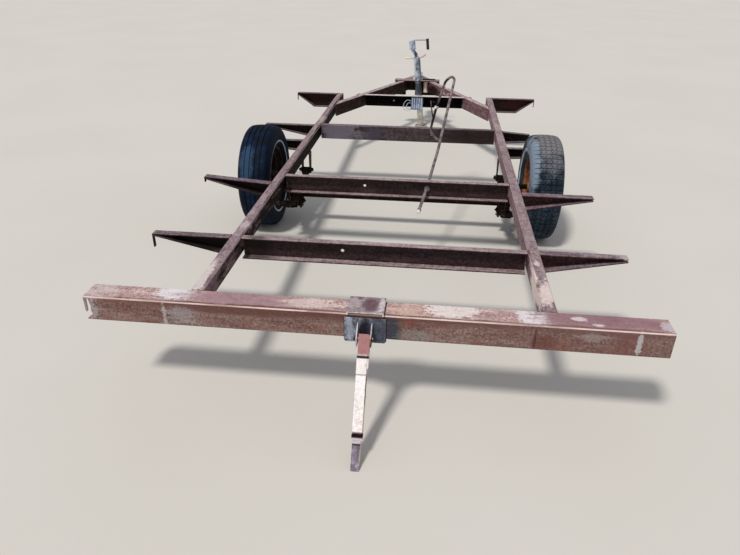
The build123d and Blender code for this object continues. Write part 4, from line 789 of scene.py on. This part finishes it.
def weldBead(shape, start, end, radius, seed):
    # a run of overlapping drops along a joint, a little uneven as laid by hand
    run = Vector(end) - Vector(start)
    axis, one, two = crossAxes(run)
    chance = random.Random(seed)
    last = max(3, int(run.length / welds["drop"])) * 3
    rows = []
    for step in range(last + 1):
        swell = (0.78, 1.0, 0.92)[step % 3] * (0.9 + 0.25 * chance.random())
        size = radius * swell * (0.35 if step in (0, last) else 1.0)
        stray = (one * (chance.random() - 0.5) + two * (chance.random() - 0.5)) * radius * 0.3
        rows.append(circle(shape, Vector(start) + run * (step / last) + stray, one, two, size, 8))
    skin(shape, rows)


def bentRod(shape, points, radius, sides=10, between=6):
    # a round rod or cable bent smoothly through points, its ends rounded over
    points = [Vector(point) for point in points]
    ends = [points[0] * 2 - points[1]] + points + [points[-1] * 2 - points[-2]]
    path = []
    for number in range(1, len(ends) - 2):
        before, start, end, after = ends[number - 1:number + 3]
        for step in range(between):
            t = step / between
            path.append(0.5 * (2 * start + (end - before) * t + (2 * before - 5 * start + 4 * end - after) * t ** 2
                               + (3 * start - before - 3 * end + after) * t ** 3))
    path.append(points[-1])
    last = len(path) - 1
    one = (path[1] - path[0]).orthogonal().normalized()
    rows = []
    for number, place in enumerate(path):
        run = (path[min(number + 1, last)] - path[max(number - 1, 0)]).normalized()
        one = (one - run * one.dot(run)).normalized()
        rows.append(circle(shape, place, one, run.cross(one), radius * (0.6 if number in (0, last) else 1.0), sides))
    skin(shape, rows)


def roundedBar(shape, put, rubbed, segments=2):
    # a bar with its edges rubbed off; put takes a corner of the cube of size one to its place
    corners = bmesh.ops.create_cube(shape, size=1.0)["verts"]
    for corner in corners:
        corner.co = put(corner.co)
    edges = list(dict.fromkeys(edge for corner in corners for edge in corner.link_edges))
    bmesh.ops.bevel(shape, geom=edges, offset=rubbed, segments=segments, affect="EDGES", profile=0.5)


def flatBar(shape, low, high, rubbed):
    # a bar between two corners, along the axes
    roundedBar(shape, lambda unit: [a + (b - a) * (part + 0.5) for a, b, part in zip(low, high, unit)], rubbed)


# welds where the tubes and channels meet: the tongue's root runs along the rail from rear to front, the runs
# on the tongue's top are given by both ends, and those of the hangers by their stations
welds = {
    "radius": 0.0034, "standRadius": 0.00306, "standSeed": 300, "drop": 0.007, "rootRear": 0.9855, "rootFront": 1.1015,
    "tongueRuns": (((0.5075, 1.383), (0.485, 1.431)), ((0.126, 2.0787), (0.179, 2.0787)),
                   ((0.078, 2.1827), (0.131, 2.1827))),
    "hangerRuns": ((-0.166, -0.102), (-0.823, -0.751)), "hangerX": 0.0265, "hangerTop": 0.3785,
}
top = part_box("rail_left")[1][2]
shape = bmesh.new()
seed = 1
for side, sign in bothSides:
    (lowX, end, under), (highX, *rest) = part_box("rail_" + side)
    inner, outer = (lowX, highX)[::sign]
    joints = [((inner, end, top - 0.004), (outer, end, top - 0.004)),
              ((inner, end, under + 0.004), (inner, end, top - 0.004)),
              ((outer, end, under + 0.004), (outer, end, top - 0.004))]
    # crossmembers on the rail's inner face, outriggers and brackets on its outer one
    for starts, x, rise in ((("crossmember",), inner, 0.006),
                            (("outrigger_" + side, "wheel_bracket_" + side), outer, 0.008)):
        for name in [key for key in nodes if key.startswith(starts)]:
            rear, front = (corner[1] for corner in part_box(name))
            web = rear + 0.005 if name == "crossmember_3" else front
            joints += [((x, rear + 0.003, top), (x, front - 0.002, top)),
                       ((x, web, under + rise), (x, web, top - 0.004)),
                       ((x, web - 0.005, under + rise), (x, web - 0.005, top - 0.006))]
    # the tongue's root, the header's end on the tongue, and the plate over the tongue
    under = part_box("tongue_" + side)[0][2] + 0.006
    joints.append(((inner, welds["rootRear"], top), (inner, welds["rootFront"], top)))
    joints += [((inner, y, under), (inner, y, top - 0.005)) for y in (welds["rootRear"], welds["rootFront"])]
    joints += [((sign * x, y, top), (sign * endX, endY, top)) for (x, y), (endX, endY) in welds["tongueRuns"]]
    # the spring hangers under the rail, behind and before the axle
    springX = boxMiddle("spring_" + side)[0]
    joints += [((springX + across, rear, welds["hangerTop"]), (springX + across, front, welds["hangerTop"]))
               for rear, front in welds["hangerRuns"] for across in (-welds["hangerX"], welds["hangerX"])]
    for seed, (start, end) in enumerate(joints, seed):
        weldBead(shape, start, end, welds["radius"], seed)
    seed += 1
addPiece("weld_beads", shape, "frame", "paint_rusted", "weldRust")

# the stand's plate and cap are welded round their edges
shape = bmesh.new()
(capLeft, capRear, capUnder), (capRight, capFront, capTop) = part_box("stand_cap")
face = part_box("rear_bumper")[0][1]
standWelds = (
    ((-0.079, face, 0.343), (-0.079, face, 0.441)), ((0.071, face, 0.343), (0.071, face, 0.441)),
    ((-0.077, face, 0.4435), (0.069, face, 0.4435)), ((-0.077, face, 0.3405), (0.069, face, 0.3405)),
    ((capLeft, capRear + 0.01, top), (capLeft, capFront - 0.004, top)),
    ((capRight, capRear + 0.01, top), (capRight, capFront - 0.004, top)),
)
for number, (start, end) in enumerate(standWelds):
    weldBead(shape, start, end, welds["standRadius"], welds["standSeed"] + number)
addPiece("stand_welds", shape, "frame", "paint_grey", "shadeWeldRust")
print("welds laid")

# nuts and bolt heads of the springs and wheels: their sizes across, and their places from the clamp, the
# shackle's ends and the hub
nutPlan = {
    "bow": 0.019, "eye": 0.024, "wheel": 0.021, "jack": 0.0122, "thread": 0.006,
    "bowX": 0.0305, "bowY": 0.038, "clampPlate": 0.008, "eyeX": 0.0295, "eyeEdge": 0.017,
    "wheelNuts": 5, "wheelCircle": 0.05715, "wheelSeat": 0.012, "valve": (0.03, 0.1, 0.115),
    "valveRings": ((0.0055, -0.012), (0.0055, 0.002), (0.0035, 0.006), (0.0035, 0.018), (0.0045, 0.019),
                   (0.0045, 0.028), (0.0035, 0.03)),
}
shape = bmesh.new()
for side, sign in bothSides:
    middleX, middleY, middleZ = boxMiddle("spring_clamp_" + side)
    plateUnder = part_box("spring_clamp_" + side)[0][2] + nutPlan["clampPlate"]
    for x in (-nutPlan["bowX"], nutPlan["bowX"]):
        for y in (-nutPlan["bowY"], nutPlan["bowY"]):
            addNut(shape, (middleX + x, middleY + y, plateUnder), (0, 0, -1), nutPlan["bow"],
                   thread=nutPlan["thread"], start=x * 40 + y * 9)
    shackleY = boxMiddle("shackle_" + side)[1]
    lowEye, highEye = (corner[2] + edge for corner, edge in
                       zip(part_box("shackle_" + side), (nutPlan["eyeEdge"], -nutPlan["eyeEdge"])))
    for y, z in ((shackleY, lowEye), (shackleY, highEye), (2 * middleY - shackleY, lowEye)):
        for face in (-1, 1):
            addNut(shape, (middleX + face * nutPlan["eyeX"], y, z), (face, 0, 0), nutPlan["eye"],
                   thread=nutPlan["thread"] if face == sign else 0.0, start=y)
addPiece("spring_nuts", shape, "frame", "steel_rusted", "boltRust")

for side, sign in bothSides:
    hubX, hubY, hubZ = boxMiddle("tyre_" + side)
    shape = bmesh.new()
    for number in range(nutPlan["wheelNuts"]):
        angle = math.radians(90 + 360 / nutPlan["wheelNuts"] * number)
        addNut(shape, (hubX + sign * nutPlan["wheelSeat"], hubY + nutPlan["wheelCircle"] * math.cos(angle),
                       hubZ + nutPlan["wheelCircle"] * math.sin(angle)), (sign, 0, 0), nutPlan["wheel"],
               washer=False, start=number)
    valveX, valveY, valveZ = nutPlan["valve"]
    turned(shape, (hubX + sign * valveX, hubY + valveY, hubZ + valveZ), (sign, 0.25, 0.3), nutPlan["valveRings"], 12)
    addPiece("wheel_nuts_" + side, shape, "wheel_" + side, "steel_rusted", "boltRust")

# the stand's pin: a washer at each end, a flat head on the left and a split pin on the right
pin = {
    "place": (-0.004, -2.33134, 0.38), "reach": 0.0277,
    "washer": ((0.0115, 0.0), (0.0122, 0.0005), (0.0122, 0.0019), (0.0112, 0.0024)),
    "head": ((0.0088, 0.0024), (0.0092, 0.003), (0.009, 0.006), (0.007, 0.0075)),
    "tail": ((0.0056, 0.002), (0.0056, 0.0105), (0.0044, 0.012)),
    "hole": 0.007, "wire": 0.0014, "split": ((0, 0, 0.012), (0, 0, 0), (0, 0.001, -0.0085), (0.002, 0.006, -0.0125)),
}
shape = bmesh.new()
pinX, pinY, pinZ = pin["place"]
leftEnd, rightEnd = ((pinX + face * pin["reach"], pinY, pinZ) for face in (-1, 1))
for place, face in ((leftEnd, -1), (rightEnd, 1)):
    turned(shape, place, (face, 0, 0), pin["washer"], 20)
turned(shape, leftEnd, (-1, 0, 0), pin["head"], 18)
turned(shape, rightEnd, (1, 0, 0), pin["tail"], 18)
hole = rightEnd[0] + pin["hole"]
bentRod(shape, [(hole + x, pinY + y, pinZ + z) for x, y, z in pin["split"]], pin["wire"], sides=6, between=4)
addPiece("stand_pin_ends", shape, "frame", "paint_grey", "boltRust")
print("fasteners placed")

# jack: a ridged rubber grip on the crank's handle, three bolts through the flange, and sleeves on the ends
# of the cross bar, whose places are across and along from the cap's middle
jackFit = {
    "crankBase": (-0.01442, 2.13066, 0.67432), "lean": 6.0, "gripAcross": 0.112, "gripFrom": 0.0625,
    "gripTo": 0.1615, "gripRadius": 0.0126, "ridge": 0.0014, "ridges": 15,
    "flangeCentre": (0.008, 2.13066, 0.467), "boltCircle": 0.046, "boltTurns": (30, 150, 270),
    "capMiddle": (-0.01416, 2.13066, 0.67184),
    "barSleeves": (((-0.114, 0.0044), (-0.074, -0.0029)), ((0.046, -0.0018), (0.088, 0.0232))),
    "sleeveBore": 0.0049, "sleeveEnd": 0.008, "sleeveRadius": 0.0088,
}
lean = math.radians(jackFit["lean"])
jackAxis = Vector((-math.sin(lean), 0, math.cos(lean)))
jackAcross = Vector((math.cos(lean), 0, math.sin(lean)))
ridgeStep = (jackFit["gripTo"] - jackFit["gripFrom"]) / jackFit["ridges"]
gripRings = [(jackFit["gripRadius"] * 0.8, jackFit["gripFrom"])]
for number in range(jackFit["ridges"]):
    gripRings += [(jackFit["gripRadius"] + rise, jackFit["gripFrom"] + ridgeStep * (number + share)) for rise, share in
                  ((0.0, 0.12), (jackFit["ridge"], 0.34), (jackFit["ridge"], 0.68), (0.0, 0.9))]
gripRings.append((jackFit["gripRadius"] * 0.8, jackFit["gripTo"] + 0.0008))
shape = bmesh.new()
turned(shape, Vector(jackFit["crankBase"]) + jackAcross * jackFit["gripAcross"], jackAxis, gripRings, 28)
addPiece("jack_grip", shape, "jack_crank", "rubber_black", "gripRubber")

shape = bmesh.new()
x, y, z = jackFit["flangeCentre"]
for turn in jackFit["boltTurns"]:
    spot = (x + jackFit["boltCircle"] * math.cos(math.radians(turn)),
            y + jackFit["boltCircle"] * math.sin(math.radians(turn)), z)
    addNut(shape, spot, (0, 0, 1), nutPlan["jack"], thread=nutPlan["thread"], start=turn)
addPiece("jack_bolts", shape, "frame", "steel_galvanised", "brightZinc")

shape = bmesh.new()
for sleeve in jackFit["barSleeves"]:
    start, end = (Vector(jackFit["capMiddle"]) + jackAcross * across + jackAxis * along for across, along in sleeve)
    long = (end - start).length
    bore, lip, widest = (jackFit[key] for key in ("sleeveBore", "sleeveEnd", "sleeveRadius"))
    turned(shape, start, end - start, ((bore, 0.0), (lip, 0.0), (widest, 0.001), (widest, long - 0.001),
                                       (lip, long), (bore, long)), 20, ends=False)
addPiece("bar_sleeves", shape, "frame", "steel_galvanised", "barSleeve")

# a pipe stub under the plate and a flat bar welded on it, both right of the jack
plateFit = {
    "stub": (0.087, 2.146, 0.0),
    "stubRings": ((0.019, 0.345), (0.0205, 0.341), (0.0225, 0.342), (0.023, 0.346), (0.023, 0.452), (0.0242, 0.4552),
                  (0.019, 0.4552)),
    "bar": ((0.054, 2.128, 0.4606), (0.176, 2.152, 0.472)), "rubbed": 0.0014,
    "weldStarts": (0.062, 0.136), "weldLong": 0.03, "weldLine": (2.1275, 0.4612), "weldRadius": 0.003, "weldSeed": 77,
}
shape = bmesh.new()
turned(shape, plateFit["stub"], (0, 0, 1), plateFit["stubRings"], 28, ends=False)
addPiece("plate_stub", shape, "frame", "paint_rusted", "litStubRust")
shape = bmesh.new()
flatBar(shape, *plateFit["bar"], plateFit["rubbed"])
for start in plateFit["weldStarts"]:
    weldBead(shape, (start, *plateFit["weldLine"]), (start + plateFit["weldLong"], *plateFit["weldLine"]),
             plateFit["weldRadius"], plateFit["weldSeed"])
addPiece("plate_bar", shape, "frame", "paint_rusted", "darkBar")

# box on the header: pressed ribs on its rear, and stiff cable loops at its lower left corner and its lower
# right one, whose points are from that corner at half the box's depth
boxFit = {
    "ribs": 5, "ribRadius": 0.0036, "ribTip": 0.0012, "ribShort": 0.008, "ribTaper": 0.006, "ribSunk": 0.0008,
    "margin": 0.012, "cable": 0.0032,
    "leftCables": (
        ((0.004, -0.004, 0.072), (-0.034, -0.006, 0.08), (-0.062, -0.01, 0.052), (-0.066, -0.01, 0.014),
         (-0.046, -0.008, -0.012), (-0.014, -0.004, -0.008), (0.008, -0.002, 0.004)),
        ((0.004, 0.006, 0.05), (-0.022, 0.006, 0.054), (-0.04, 0.004, 0.03), (-0.034, 0.004, 0.004),
         (-0.01, 0.004, 0.002), (0.014, 0.004, 0.006)),
    ),
    "rightCables": (
        ((-0.022, -0.004, 0.004), (-0.022, -0.006, -0.026), (-0.01, -0.008, -0.04), (-0.001, -0.006, -0.024),
         (-0.006, -0.004, 0.004)),
    ),
}
low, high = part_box("junction_box")
ribLow, ribHigh, taper = low[2] + boxFit["ribShort"], high[2] - boxFit["ribShort"], boxFit["ribTaper"]
shape = bmesh.new()
for number in range(boxFit["ribs"]):
    x = low[0] + boxFit["margin"] + (high[0] - low[0] - 2 * boxFit["margin"]) * number / (boxFit["ribs"] - 1)
    turned(shape, (x, low[1] + boxFit["ribSunk"], 0.0), (0, 0, 1),
           ((boxFit["ribTip"], ribLow), (boxFit["ribRadius"], ribLow + taper), (boxFit["ribRadius"], ribHigh - taper),
            (boxFit["ribTip"], ribHigh)), 12)
addPiece("box_ribs", shape, "frame", "box_painted", "boxRibZinc")
shape = bmesh.new()
for cornerX, cables in ((low[0], boxFit["leftCables"]), (high[0], boxFit["rightCables"])):
    for cable in cables:
        bentRod(shape, [(cornerX + x, boxMiddle("junction_box")[1] + y, low[2] + z) for x, y, z in cable],
                boxFit["cable"])
addPiece("box_cables", shape, "frame", "box_painted", "cableSheath")

# pipe: a bright clamp on its left leg and a thin rod welded beside it
pipeFit = {
    "legTop": (0.206, 0.2137, 0.635), "legLow": (0.172, 0.1987, 0.475), "clampShare": 0.03,
    "clampRings": ((0.0084, -0.009), (0.0125, -0.009), (0.0138, -0.006), (0.0138, 0.006), (0.0125, 0.009),
                   (0.0084, 0.009)),
    "ear": ((0.1985, 0.189, 0.622), (0.2065, 0.203, 0.64)), "rubbed": 0.0012,
    "bolt": (0.1985, 0.1945, 0.631), "boltAcross": 0.01, "boltThread": 0.003,
    "rod": ((0.1905, 0.207, 0.548), (0.183, 0.206, 0.566), (0.174, 0.205, 0.612), (0.164, 0.2045, 0.676)),
    "rodRadius": 0.0042,
}
shape = bmesh.new()
leg = Vector(pipeFit["legLow"]) - Vector(pipeFit["legTop"])
turned(shape, Vector(pipeFit["legTop"]) + leg * pipeFit["clampShare"], leg, pipeFit["clampRings"], 24, ends=False)
flatBar(shape, *pipeFit["ear"], pipeFit["rubbed"])
addNut(shape, pipeFit["bolt"], (-1, 0, 0), pipeFit["boltAcross"], washer=False, thread=pipeFit["boltThread"])
addPiece("pipe_clamp", shape, "frame", "steel_galvanised", "brightZinc")
shape = bmesh.new()
bentRod(shape, pipeFit["rod"], pipeFit["rodRadius"])
addPiece("pipe_rod", shape, "frame", "steel_rusted", "pipeRust")

# rubber grommets left in three of the crossmembers' holes and in the header's, one of them plugged; a profile
# is radius and height round the web
grommets = {
    "holeX": 0.178, "holeDown": 0.05, "web": 0.005, "headerWeb": 0.006,
    "open": ((0.003, 0.0035), (0.0105, 0.0038), (0.0122, 0.0012), (0.0119, 0.0002), (0.0078, 0.0),
             (0.0078, -0.005), (0.0119, -0.0052), (0.0105, -0.0088), (0.003, -0.0085)),
    "flat": ((0.0034, 0.001), (0.01, 0.0016), (0.012, 0.001), (0.012, 0.0001), (0.0078, 0.0),
             (0.0078, -0.006), (0.0034, -0.006)),
    "plug": ((0.0036, -0.0055), (0.0036, 0.0008), (0.002, 0.0014)),
}
rears = {"crossmember_1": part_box("crossmember_1")[1][1] - grommets["web"],
         "crossmember_3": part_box("crossmember_3")[0][1],
         "front_header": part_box("front_header")[1][1] - grommets["headerWeb"]}
shape = bmesh.new()
for member, face, profile in (("crossmember_1", 1, "open"), ("crossmember_3", -1, "open"), ("crossmember_3", 1, "open"),
                              ("front_header", -1, "flat"), ("front_header", 1, "flat"), ("front_header", 1, "plug")):
    turned(shape, (face * grommets["holeX"], rears[member], top - grommets["holeDown"]), (0, -1, 0),
           grommets[profile], 24, ends=profile == "plug")
addPiece("grommets", shape, "frame", "rubber_black", "gripRubber")

# rebound clips round the leaves of each spring, whose arcs share a centre above the axle; the fourth leaf
# ends between them
clipPlan = {
    "places": (-0.205, -0.125, 0.125, 0.205), "curveCentre": 0.8291, "inner": 0.6492, "outer": 0.6765,
    "leafThick": 0.007, "leafEnd": 0.16, "half": 0.0235, "thick": 0.0035, "width": 0.022, "rubbed": 0.0008,
}
shape = bmesh.new()
for side, sign in bothSides:
    springX, axleY, springZ = boxMiddle("spring_" + side)
    centre = Vector((springX, axleY, clipPlan["curveCentre"]))
    reach, inner, thick = clipPlan["half"] + clipPlan["thick"], clipPlan["inner"], clipPlan["thick"]
    for away in clipPlan["places"]:
        slope = math.asin(away / inner)
        outer = clipPlan["outer"] - (clipPlan["leafThick"] if abs(away) > clipPlan["leafEnd"] else 0.0)
        along = Vector((0, math.cos(slope), math.sin(slope)))
        down = Vector((0, math.sin(slope), -math.cos(slope)))
        for x0, x1, r0, r1 in ((-1, 1, inner - thick, inner), (-1, 1, outer, outer + thick),
                               (-1, -0.86, inner, outer), (0.86, 1, inner, outer)):
            roundedBar(shape, lambda unit: (centre + Vector((reach * (x0 + (x1 - x0) * (unit.x + 0.5)), 0, 0))
                                            + along * clipPlan["width"] * unit.y
                                            + down * (r0 + (r1 - r0) * (unit.z + 0.5))), clipPlan["rubbed"], segments=1)
addPiece("spring_clips", shape, "frame", "steel_rusted", "springShadeRust")
print("fittings added")
